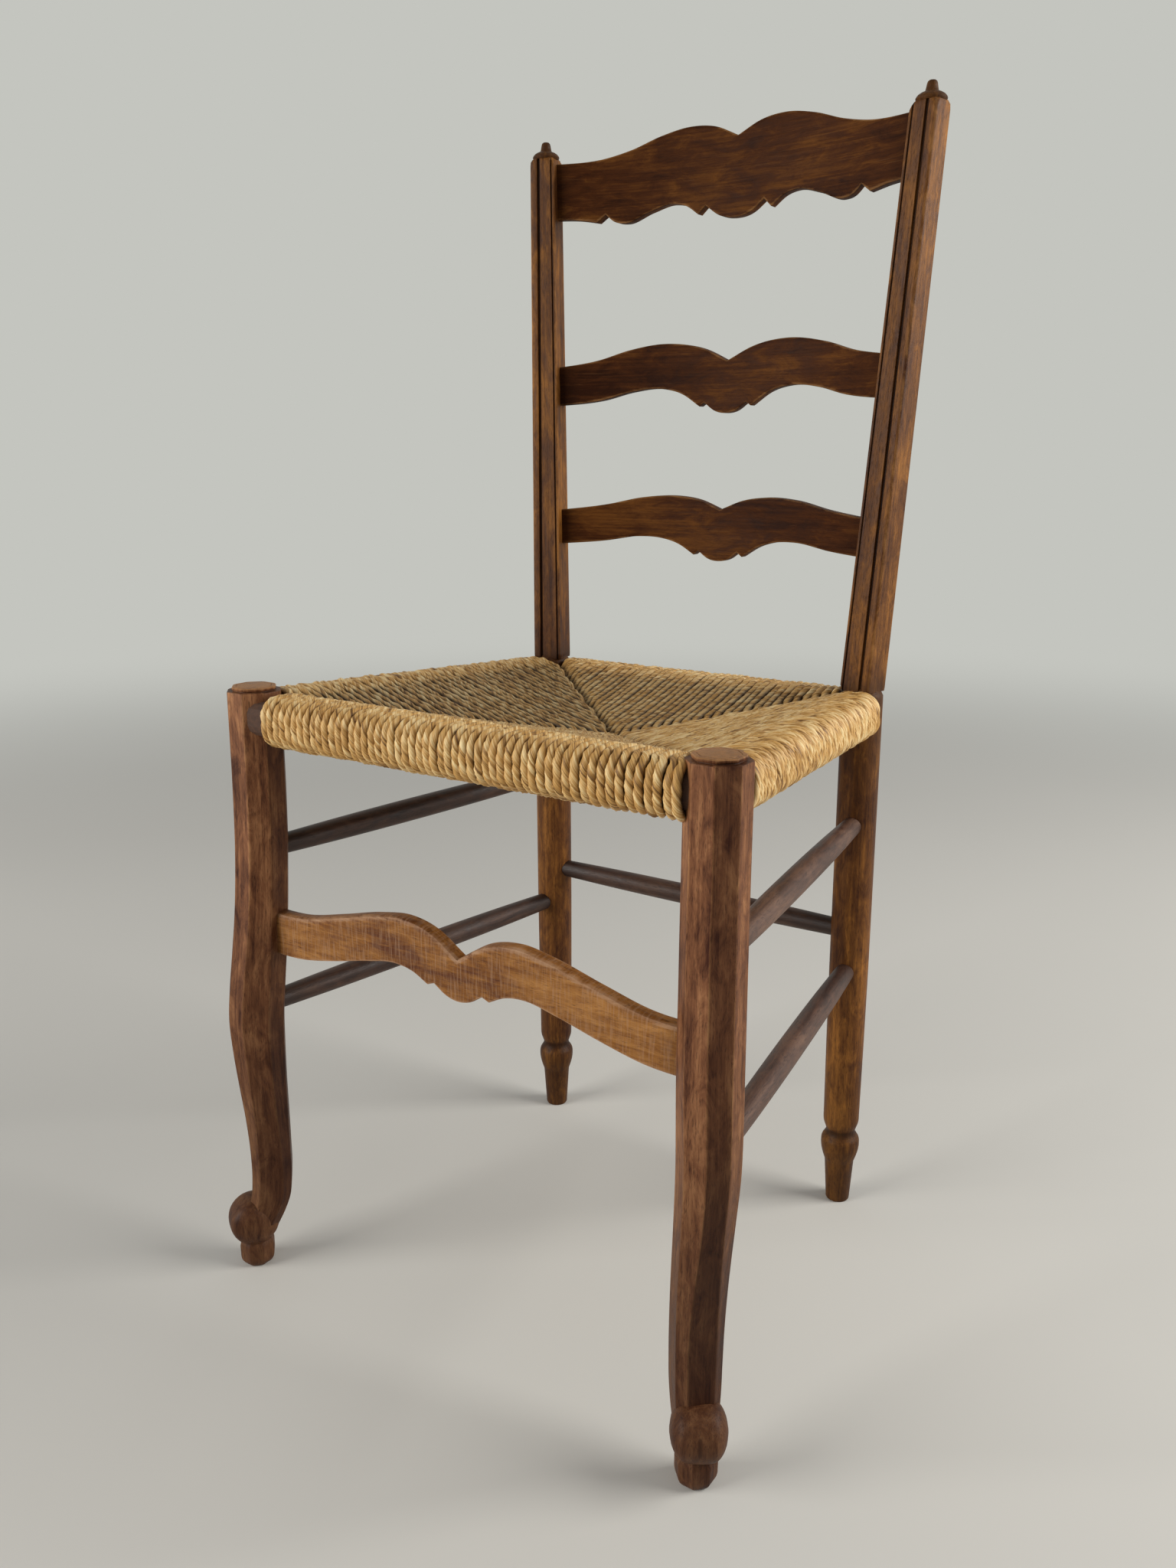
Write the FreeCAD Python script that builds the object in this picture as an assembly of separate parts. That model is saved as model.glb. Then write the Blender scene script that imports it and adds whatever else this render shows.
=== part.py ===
import FreeCAD, Part
import math
import os

# Rush-seated ladderback side chair, frame of turned and shaped hardwood.
# Millimetres, +Z up, the front faces -Y, the floor is Z = 0.
# Each length below is set on its own, and what seats on a piece is worked out from it.

V = FreeCAD.Vector

# Driving dimensions of the plan: axes of the legs and posts
LEG_X = 192.0            # half the spacing of the front leg axes
LEG_TOP_Z = 470.0        # top of the turned button on a front leg
POST_FOOT_X = 151.3      # half the spacing of the back feet
POST_FOOT_Y = 320.0      # back foot axis behind the front leg axis
SHOULDER_X = 150.2       # half spacing of the posts where they leave the seat
SHOULDER_Y = 316.0
SHOULDER_Z = 456.0       # square shoulder of the post, just above the rush
POST_TOP_X = 168.2       # half spacing of the posts at their top
POST_TOP_Y = 337.2
POST_TOP_Z = 875.4       # top of the square part, below the finial
POST_TURN = 12.0         # degrees that the square part is turned towards the sitter

# Back post, square upper part (width across the front face, depth of the sides)
POST_WIDTH_LOW = 26.2
POST_DEPTH_LOW = 24.8
POST_WIDTH_TOP = 22.2
POST_DEPTH_TOP = 19.8
POST_CORNER = 2.5        # rounding of the long edges
GROOVE_IN = 8.0          # main groove, from the outer edge
GROOVE_HALF = 1.4
GROOVE_DEPTH = 2.2
QUIRK_IN = 2.7           # small groove beside the inner front edge
QUIRK_HALF = 0.8
QUIRK_DEPTH = 1.4

# Back post, turned lower part
POST_RADIUS = 16.0
POST_RADIUS_LOW = 15.0
POST_ANKLE_RADIUS = 12.0
POST_BULB_RADIUS = 16.2
POST_PEG_RADIUS = 12.4
POST_TOE_RADIUS = 10.0
POST_BULB_Z = 55.0
POST_PEG_Z = 38.0

# Finial on the post
FINIAL_FLANGE_RADIUS = 11.3
FINIAL_KNOB_RADIUS = 4.6
FINIAL_HEIGHT = 13.0

# Front leg: octagon, straight above, bowed below the stretcher, with a barrel toe
LEG_WIDTH = 37.6         # across the flats at the seat
TOE_ANGLE = 58.0         # degrees from the X axis that the barrel toe points forwards
TOE_RADIUS = 19.3
TOE_HALF = 18.4
TOE_OUT = 12.5           # the toe's middle, outside and in front of the top of the leg
TOE_FORWARD = 26.6
TOE_Z = 38.0
SOLE_OUT = 10.9
SOLE_FORWARD = 26.2
SOLE_WIDTH = 26.2
SOLE_HEIGHT = 19.0
BUTTON_RADIUS = 14.4     # turned button that stands above the rush
BUTTON_HEIGHT = 3.0
BUTTON_NECK = 13.4

# Slats: bowed boards. The crest hangs from the top of the posts, and the other two divide
# the posts' length above the shoulder.
CREST_BELOW_TOP = 27.8
MIDDLE_SHARE = 0.5537
LOWER_SHARE = 0.2692
SLAT_THICKNESS = 9.0
SLAT_BOW = 29.4
SLAT_SET_BACK = 1.4      # front face of a slat end in front of the post axis
TENON_CHEEK = 1.0        # what a slat tenon is thinner on each face
TENON_SHOULDER = 3.0
SLAT_TENON = 10.0        # length of a slat tenon in the post
CLEAR = 0.15             # glue room round every tenon
END_GAP = 1.0            # room left at the bottom of every mortise

# Front stretcher board
FRONT_BOARD_FACE_Y = -8.0
FRONT_BOARD_THICKNESS = 11.0
FRONT_BOARD_TENON = 18.0
FRONT_BOARD_TENON_THICKNESS = 7.0

# Turned stretchers
SIDE_UPPER_Z = 344.5
SIDE_LOWER_Z = 218.5
BACK_STRETCHER_Z = 251.0
STRETCHER_RADIUS = 9.4
STRETCHER_END_RADIUS = 7.4
BACK_STRETCHER_RADIUS = 9.0
STRETCHER_TENON_RADIUS = 5.5
STRETCHER_TENON = 16.0

# Seat rails inside the rush
FRONT_RAIL_Y = -3.0
FRONT_RAIL_Z = 448.0
BACK_RAIL_Z = 436.0
SIDE_RAIL_IN = 2.0       # side rail axis inside the front leg axis
RAIL_HALF_WIDTH = 14.0
RAIL_HALF_HEIGHT = 12.5
BACK_RAIL_HALF_WIDTH = 12.0
BACK_RAIL_HALF_HEIGHT = 11.0
RAIL_ROUND = 8.0
RAIL_TENON_RADIUS = 5.5
FRONT_RAIL_TENON = 13.0
BACK_RAIL_TENON = 9.0

# Rush seat
RUSH = 6.3               # one cord, measured through
SEAT_CENTRE_Y = 187.0
SEAT_CENTRE_TOP = 424.0
SEAT_CENTRE_UNDER = 406.0
# The front roll stops short of the left leg and nearly meets the right one.
FRONT_ROLL_GAP_LEFT = 10.0
FRONT_ROLL_GAP_RIGHT = 0.8
RUSH_SAG = 2.5           # hollow of the top layer under its chord
STUFFING_CLEAR = 0.3

TAPERS = 2               # straight tapers that stand for one curve of a turning
TURNING_SIDES = 16       # narrow flats round a turned piece
ROUND_FLATS = 3          # flats that stand for one rounded edge
FLOOR_SINK = 4.0         # overlength that the floor plane trims off
PAST = 400.0             # past every edge of the chair, for cutting


def unit(angle):
    """Horizontal direction at an angle from +X towards -Y."""
    return V(math.cos(math.radians(angle)), -math.sin(math.radians(angle)), 0)


def lerp(low, high, share):
    return low + (high - low) * share


def line(a, b):
    return Part.LineSegment(a, b).toShape()


def curve(points):
    spline = Part.BSplineCurve()
    spline.interpolate(points)
    return spline.toShape()


def chords(bend, count):
    """Points that cut an arc into equal chords."""
    low, high = bend.FirstParameter, bend.LastParameter
    return [bend.value(lerp(low, high, number / count)) for number in range(count + 1)]


def block(x0, x1, y0, y1, z0, z1):
    return Part.makeBox(x1 - x0, y1 - y0, z1 - z0, V(x0, y0, z0))


def lathe(profile, origin=V(0, 0, 0), direction=V(0, 0, 1)):
    """Solid of revolution about Z through the origin, then laid along a direction.

    profile is a list of (radius, height) points. A longer entry (radius, height, radius, height)
    is a curve through its first pair to its second, cut into straight tapers."""
    points = [V(profile[0][0], 0, profile[0][1])]
    for item in profile[1:]:
        if len(item) == 4:
            start = points[-1]
            bend = Part.Arc(start, V(item[0], 0, item[1]), V(item[2], 0, item[3]))
            points += chords(bend, TAPERS)[1:]
        else:
            points.append(V(item[0], 0, item[1]))
    if points[-1].distanceToPoint(points[0]) > 1e-6:
        points.append(points[0])
    face = Part.Face(Part.makePolygon(points))
    solid = face.revolve(V(0, 0, 0), V(0, 0, 1), 360)
    turn = FreeCAD.Rotation(V(0, 0, 1), direction)
    solid.Placement = FreeCAD.Placement(origin, turn)
    return solid


def turning(profile, origin=V(0, 0, 0), direction=V(0, 0, 1)):
    """Turned piece whose outline only climbs, as a loft on many narrow flats.

    Long slight tapers mesh lightly this way, and the flats stay within 0.3 mm of round."""
    points = [V(profile[0][0], 0, profile[0][1])]
    for item in profile[1:]:
        if len(item) == 4:
            bend = Part.Arc(points[-1], V(item[0], 0, item[1]), V(item[2], 0, item[3]))
            points += chords(bend, TAPERS)[1:]
        else:
            points.append(V(item[0], 0, item[1]))
    rings = []
    step = 2 * math.pi / TURNING_SIDES
    for point in points:
        ring = [V(point.x * math.cos(step * side), point.x * math.sin(step * side), point.z)
                for side in range(TURNING_SIDES)]
        rings.append(Part.makePolygon(ring + [ring[0]]))
    solid = Part.makeLoft(rings, True, True)
    solid.Placement = FreeCAD.Placement(origin, FreeCAD.Rotation(V(0, 0, 1), direction))
    return solid


def mirrored(shape):
    return shape.mirror(V(0, 0, 0), V(1, 0, 0))


# Places on the axes of the posts and legs

def post_axis(z):
    """Axis of the right back post at a height."""
    if z <= SHOULDER_Z:
        share = z / SHOULDER_Z
        return V(lerp(POST_FOOT_X, SHOULDER_X, share), lerp(POST_FOOT_Y, SHOULDER_Y, share), z)
    share = (z - SHOULDER_Z) / (POST_TOP_Z - SHOULDER_Z)
    return V(lerp(SHOULDER_X, POST_TOP_X, share), lerp(SHOULDER_Y, POST_TOP_Y, share), z)


# Centre line and section of the right leg from the seat down. Each row: height, how far the
# centre has moved out (X) and forward (-Y), half width of the flats that face X and Y, of the
# flats that face along the leg's diagonal, and of the flats across it.
LEG_ROWS = [
    (LEG_TOP_Z + 2.0, 0.0, 0.0, 18.8, 18.8, 18.8),
    (380.0, 0.4, 1.2, 19.0, 19.0, 19.0),
    (352.0, 0.8, 2.0, 19.1, 19.1, 19.1),
    (324.0, 1.6, 3.4, 19.2, 19.2, 19.1),
    (296.0, 2.6, 5.3, 19.5, 19.6, 19.1),
    (268.0, 4.0, 7.9, 19.8, 20.2, 19.0),
    (240.0, 5.8, 10.7, 20.0, 20.6, 18.6),
    (212.0, 7.0, 13.1, 19.7, 20.5, 18.1),
    (184.0, 6.0, 13.8, 18.8, 19.4, 17.4),
    (156.0, 4.4, 13.8, 18.0, 17.8, 16.8),
    (128.0, 2.7, 13.3, 17.5, 16.3, 16.3),
    (100.0, 1.7, 13.1, 17.3, 15.4, 15.8),
    (76.0, 1.7, 13.5, 17.2, 15.3, 15.4),
    (59.0, 2.7, 15.2, 16.8, 15.2, 15.0),
    (46.0, 5.0, 18.8, 15.6, 14.6, 14.2),
    (34.0, 7.8, 22.4, 13.9, 13.2, 13.2),
    (22.0, 10.9, 26.0, 12.2, 12.0, 12.2),
]


def leg_ring(row):
    """Octagon of the right leg at one row."""
    z, out, forward, flat, along, across = row
    root = math.sqrt(2)
    near = root * along - flat
    far = root * across - flat
    ring = [(flat, -near), (flat, far), (far, flat), (-near, flat),
            (-flat, near), (-flat, -far), (-far, -flat), (near, -flat)]
    points = [V(LEG_X + out + a, b - forward, z) for a, b in ring]
    return Part.makePolygon(points + [points[0]])


def octagon(centre, width):
    """Regular octagon with its flats square to X and Y."""
    half = width / 2
    near = half * math.tan(math.radians(22.5))
    ring = [(half, near), (near, half), (-near, half), (-half, near),
            (-half, -near), (-near, -half), (near, -half), (half, -near)]
    points = [V(centre.x + a, centre.y + b, centre.z) for a, b in ring]
    return Part.makePolygon(points + [points[0]])


def front_leg_blank():
    """Right front leg before its mortises are cut."""
    rings = [leg_ring(row) for row in reversed(LEG_ROWS)]
    upper = Part.makeLoft(rings[-2:], True, True)
    shaft = Part.makeLoft(rings[:-1], True, False)
    sole_axis = V(LEG_X + SOLE_OUT, -SOLE_FORWARD, 0)
    neck_z = LEG_ROWS[-1][0]
    sole_rings = [octagon(sole_axis + V(0, 0, z), width) for z, width in (
        (0.0, SOLE_WIDTH - 8.6), (1.6, SOLE_WIDTH - 4.6), (4.6, SOLE_WIDTH - 1.4),
        (SOLE_HEIGHT - 2.5, SOLE_WIDTH),
        (SOLE_HEIGHT + 1.0, SOLE_WIDTH - 1.2), (neck_z + 0.5, SOLE_WIDTH - 4.2))]
    sole = Part.makeLoft(sole_rings, True, True)
    toe = turning([(TOE_RADIUS * 0.35, -TOE_HALF),
                   (TOE_RADIUS * 0.9, -TOE_HALF * 0.62, TOE_RADIUS, 0),
                   (TOE_RADIUS * 0.9, TOE_HALF * 0.62, TOE_RADIUS * 0.35, TOE_HALF)],
                V(LEG_X + TOE_OUT, -TOE_FORWARD, TOE_Z), unit(TOE_ANGLE - 90))
    button_z = LEG_TOP_Z - BUTTON_HEIGHT
    corner = LEG_WIDTH / 2 / math.cos(math.radians(22.5))
    envelope = turning([(corner + 4, LEG_ROWS[1][0] - 5), (corner + 4, button_z - 5.5),
                        (corner + 0.6, button_z - 5), (BUTTON_RADIUS + 1.4, button_z - 1.2),
                        (BUTTON_NECK, button_z - 0.7), (BUTTON_NECK, button_z),
                        (BUTTON_RADIUS, button_z + 0.4), (BUTTON_RADIUS, LEG_TOP_Z - 0.9),
                        (BUTTON_RADIUS - 0.9, LEG_TOP_Z)], V(LEG_X, 0, 0))
    return shaft.fuse([upper.common(envelope), sole, toe]).removeSplitter()


def post_section(z, width, depth):
    """Moulded section of the square part at a height, seen from above."""
    centre = post_axis(z)
    turn = math.radians(POST_TURN)
    out = V(math.cos(turn), -math.sin(turn), 0)
    front = V(-math.sin(turn), -math.cos(turn), 0)
    half = width / 2
    deep = depth / 2
    groove = half - GROOVE_IN
    quirk = QUIRK_IN - half
    knee = POST_CORNER * (1 - math.cos(math.radians(45)))
    outline = [
        (-half, deep - 0.6),
        (0.6 - half, deep),
        (quirk - QUIRK_HALF, deep),
        (quirk, deep - QUIRK_DEPTH),
        (quirk + QUIRK_HALF, deep),
        (groove - GROOVE_HALF, deep),
        (groove - GROOVE_HALF * 0.45, deep - GROOVE_DEPTH),
        (groove + GROOVE_HALF * 0.45, deep - GROOVE_DEPTH),
        (groove + GROOVE_HALF, deep - 0.2),
        (groove + GROOVE_HALF + 1.2, deep + 0.1),
        (half - POST_CORNER, deep),
        (half - knee, deep - knee),
        (half, deep - POST_CORNER),
        (half, POST_CORNER - deep),
        (half - knee, knee - deep),
        (half - POST_CORNER, -deep),
        (POST_CORNER - half, -deep),
        (knee - half, knee - deep),
        (-half, POST_CORNER - deep),
    ]
    points = [centre + out * u + front * v for u, v in outline]
    return Part.makePolygon(points + [points[0]])


def back_post_blank():
    """Right back post before its mortises are cut, one piece from floor to finial."""
    low_z = SHOULDER_Z - 6.0
    grow = (POST_WIDTH_LOW - POST_WIDTH_TOP) / (POST_TOP_Z - SHOULDER_Z)
    deepen = (POST_DEPTH_LOW - POST_DEPTH_TOP) / (POST_TOP_Z - SHOULDER_Z)
    over = SHOULDER_Z - low_z
    square = Part.makeLoft([
        post_section(low_z, POST_WIDTH_LOW + grow * over, POST_DEPTH_LOW + deepen * over),
        post_section(POST_TOP_Z, POST_WIDTH_TOP, POST_DEPTH_TOP)], True, True)
    low = lathe([(0, low_z - 1), (POST_RADIUS, low_z - 1),
                 (POST_RADIUS + 0.8, SHOULDER_Z - 2.0, POST_RADIUS + 5.0, SHOULDER_Z + 1.0),
                 (PAST, SHOULDER_Z + 1.0), (PAST, POST_TOP_Z + 1), (0, POST_TOP_Z + 1)],
                V(SHOULDER_X, SHOULDER_Y, 0))
    corner = math.hypot(POST_WIDTH_TOP, POST_DEPTH_TOP) / 2
    high = lathe([(0, 0), (PAST, 0), (PAST, POST_TOP_Z - 8), (corner + 0.6, POST_TOP_Z - 8),
                  (corner - 1.0, POST_TOP_Z - 2.4, FINIAL_FLANGE_RADIUS + 0.4, POST_TOP_Z),
                  (0, POST_TOP_Z)], V(POST_TOP_X, POST_TOP_Y, 0))
    square = square.common(low).common(high)
    foot = post_axis(0)
    shoulder = post_axis(SHOULDER_Z)
    direction = shoulder - foot
    direction.normalize()
    turned = turning([(POST_TOE_RADIUS - 0.8, -FLOOR_SINK), (POST_TOE_RADIUS - 0.6, 0),
                      (POST_TOE_RADIUS, 1.2), (POST_PEG_RADIUS, POST_PEG_Z),
                      (POST_BULB_RADIUS - 0.9, POST_BULB_Z - 8.0,
                       POST_BULB_RADIUS, POST_BULB_Z),
                      (POST_BULB_RADIUS - 0.7, POST_BULB_Z + 6.0,
                       POST_ANKLE_RADIUS, POST_BULB_Z + 10.0),
                      (POST_ANKLE_RADIUS + 0.6, POST_BULB_Z + 14.0,
                       POST_RADIUS_LOW - 0.6, POST_BULB_Z + 18.0),
                      (POST_RADIUS_LOW, POST_BULB_Z + 30.0),
                      (POST_RADIUS, SIDE_LOWER_Z),
                      (POST_RADIUS, SHOULDER_Z - 7.0),
                      (POST_RADIUS - 4.6, SHOULDER_Z - 1.0)], foot, direction)
    turned = turned.cut(block(-PAST, PAST, -PAST, 2 * PAST, -PAST, 0))
    rim = FINIAL_FLANGE_RADIUS
    knob = FINIAL_KNOB_RADIUS
    finial = turning([(rim - 0.9, -1.5), (rim - 0.1, 0), (rim, 0.9),
                      (rim - 1.7, 3.3, knob + 1.2, 5.2), (knob + 0.4, 5.6), (knob, 6.2),
                      (knob - 0.7, 10.4), (knob - 1.3, FINIAL_HEIGHT - 1.0, knob - 3.2, FINIAL_HEIGHT)],
                     V(POST_TOP_X, POST_TOP_Y, POST_TOP_Z))
    return square.fuse([turned, finial]).removeSplitter()


# Boards with a shaped outline. Each half outline is (distance from the middle, height); a slat's
# heights are from its own middle, and board ends are worked out from the posts or legs they meet.

CREST_TOP = [(116, 24.4), (94, 29.4), (68, 38.0), (42, 42.4), (20, 40.0), (0, 31.4)]
CREST_UNDER = [[(138, -22.8), (122, -25.4)],
               [(114.3, -19.4), (107, -25.3), (98, -27.1), (76, -19.6), (56, -15.0),
                (43, -18.0), (33, -24.8)],
               [(26.5, -18.6), (14, -27.0), (0, -29.6)]]
CREST_ENDS = (21.8, -21.8)

MIDDLE_TOP = [(115, 22.8), (90, 30.1), (55, 34.5), (23, 29.6), (0, 19.3)]
MIDDLE_UNDER = [[(112, -10.5), (88, -4.4), (60, -2.0), (40, -6.8), (24, -16.9)],
                [(19.6, -13.8), (10, -20.4), (0, -22.5)]]
MIDDLE_ENDS = (15.7, -15.7)

LOWER_TOP = [(104, 20.9), (72, 27.3), (43, 28.9), (22, 26.1), (0, 18.0)]
LOWER_UNDER = [[(108, -11.0), (74, -6.2), (54, -7.2), (38, -11.7), (23.2, -20.3)],
               [(18.6, -17.0), (10, -22.9), (0, -24.9)]]
LOWER_ENDS = (14.5, -14.5)

FRONT_TOP = [(148, 300.4), (113, 308.3), (75, 317.8), (48, 321.3), (24, 316.4), (0, 302.0)]
FRONT_UNDER = [[(148, 267.2), (116, 273.5), (83, 281.5), (56, 286.0), (40, 283.6), (27, 277.3)],
               [(21, 279.6), (11, 273.4), (0, 271.0)]]
FRONT_ENDS = (299.0, 265.8)


def board_face(half_length, ends, top, under):
    """Whole outline of a board as a face in the plane Y = 0."""
    def both(points):
        """A run that reaches the middle goes on, mirrored, to the other side."""
        right = [V(x, 0, z) for x, z in points]
        return right, [V(-p.x, 0, p.z) for p in reversed(right)]

    top_right, top_left = both([(half_length, ends[0])] + top)
    edges = [curve(top_right), curve(top_left)]
    runs = [list(run) for run in under]
    runs[0].insert(0, (half_length, ends[1]))
    for number, run in enumerate(runs):
        right, left = both(run)
        if number == len(runs) - 1:
            edges.append(curve(right + left[1:]))
        else:
            edges.append(curve(right))
            edges.append(curve(left))
            nearer = V(runs[number + 1][0][0], 0, runs[number + 1][0][1])
            edges.append(line(right[-1], nearer))
            edges.append(line(V(-nearer.x, 0, nearer.z), left[0]))
    for side in (1, -1):
        edges.append(line(V(side * half_length, 0, ends[0]), V(side * half_length, 0, ends[1])))
    ordered = Part.__sortEdges__(edges)
    return Part.Face(Part.Wire(ordered))


def bowed_slab(z, reach, front, thick):
    """Curved slab that leans with the posts, bowed away from the sitter.

    reach is half the chord, front is how far the slab starts behind the slat's own face."""
    bend = (reach * reach + SLAT_BOW * SLAT_BOW) / (2 * SLAT_BOW)
    lean = V(0, POST_TOP_Y - SHOULDER_Y, POST_TOP_Z - SHOULDER_Z)
    lean.normalize()
    middle_y = post_axis(z).y - SLAT_SET_BACK + SLAT_BOW
    centre = V(0, middle_y - bend, z) - lean * 80
    outer = Part.makeCylinder(bend + front + thick, 160, centre, lean)
    inner = Part.makeCylinder(bend + front, 160, centre, lean)
    near = block(-PAST, PAST, middle_y - 60, middle_y + 60, z - 60, z + 60)
    return outer.cut(inner).common(near)


def slat(z, ends, top, under, post_right):
    """Slat whose middle is at a height, with its two tenons, and the cutter for its mortises."""
    axis_x = post_axis(z).x
    inner_face = axis_x - lerp(POST_WIDTH_LOW, POST_WIDTH_TOP,
                               (z - SHOULDER_Z) / (POST_TOP_Z - SHOULDER_Z)) / 2
    posts = [post_right, mirrored(post_right)]
    face = board_face(axis_x, ends, top, under)
    face.translate(V(0, -PAST, z))
    board = face.extrude(V(0, 3 * PAST, 0))
    board = board.common(bowed_slab(z, inner_face, 0, SLAT_THICKNESS)).cut(posts)

    def tongue(room, tip, root):
        slab = bowed_slab(z, inner_face, TENON_CHEEK - room,
                          SLAT_THICKNESS - 2 * TENON_CHEEK + 2 * room)
        low = z + ends[1] + TENON_SHOULDER - room
        high = z + ends[0] - TENON_SHOULDER + room
        boxes = [block(inner_face - root, inner_face + tip, 0, PAST * 2, low, high),
                 block(-inner_face - tip, -inner_face + root, 0, PAST * 2, low, high)]
        return [slab.common(box) for box in boxes]

    whole = board.fuse(tongue(0, SLAT_TENON, 4.0)).removeSplitter()
    return whole, tongue(CLEAR, SLAT_TENON + END_GAP, 4.0)


def front_board(leg_right):
    """Front stretcher board with its tenons, and the cutters for its mortises."""
    legs = [leg_right, mirrored(leg_right)]
    half = LEG_X
    face = board_face(half, FRONT_ENDS, FRONT_TOP, FRONT_UNDER)
    face.translate(V(0, FRONT_BOARD_FACE_Y, 0))
    board = face.extrude(V(0, FRONT_BOARD_THICKNESS, 0)).cut(legs)
    middle_y = FRONT_BOARD_FACE_Y + FRONT_BOARD_THICKNESS / 2
    inner = LEG_X - LEG_WIDTH / 2

    def tongue(room, tip):
        deep = FRONT_BOARD_TENON_THICKNESS / 2 + room
        low = FRONT_ENDS[1] + TENON_SHOULDER + 1 - room
        high = FRONT_ENDS[0] - TENON_SHOULDER - 1 + room
        return [block(inner - 4, inner + tip, middle_y - deep, middle_y + deep, low, high),
                block(-inner - tip, -inner + 4, middle_y - deep, middle_y + deep, low, high)]

    whole = board.fuse(tongue(0, FRONT_BOARD_TENON)).removeSplitter()
    return whole, tongue(CLEAR, FRONT_BOARD_TENON + END_GAP)


def rod(start, end, profile):
    direction = end - start
    direction.normalize()
    return turning(profile, start, direction)


def spindle(start, end, reach_start, reach_end, belly, blanks):
    """Turned stretcher between two axes, with its tenons, and the mortise cutters.

    reach_start and reach_end are how far from each axis the tenon's tip stops."""
    length = (end - start).Length
    shoulder = lerp(STRETCHER_END_RADIUS, belly, 0.72)
    swell = rod(start, end, [(STRETCHER_END_RADIUS, 0), (shoulder, length * 0.22, belly, length * 0.5),
                             (shoulder, length * 0.78, STRETCHER_END_RADIUS, length)])
    body = swell.cut(blanks)

    def pin(room, gap):
        low = reach_start - gap
        high = length - reach_end + gap
        radius = STRETCHER_TENON_RADIUS + room
        return rod(start, end, [(radius, low), (radius, high)])

    return body.fuse(pin(0, 0)).removeSplitter(), [pin(CLEAR, END_GAP)]


def round_corner(t, z, radius, start, end):
    """Points of a rounded edge, from one angle to another, about a centre."""
    step = (end - start) / ROUND_FLATS
    return [(t + radius * math.cos(start + step * number), z + radius * math.sin(start + step * number))
            for number in range(ROUND_FLATS + 1)]


def rail_face(half_width, half_height, origin, across):
    """Rail section: a rectangle with well rounded corners."""
    t = half_width - RAIL_ROUND
    z = half_height - RAIL_ROUND
    quarter = math.pi / 2
    outline = (round_corner(t, z, RAIL_ROUND, 0, quarter)
               + round_corner(-t, z, RAIL_ROUND, quarter, 2 * quarter)
               + round_corner(-t, -z, RAIL_ROUND, 2 * quarter, 3 * quarter)
               + round_corner(t, -z, RAIL_ROUND, 3 * quarter, 4 * quarter))
    points = [origin + across * u + V(0, 0, v) for u, v in outline]
    return Part.Face(Part.makePolygon(points + [points[0]]))


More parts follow.
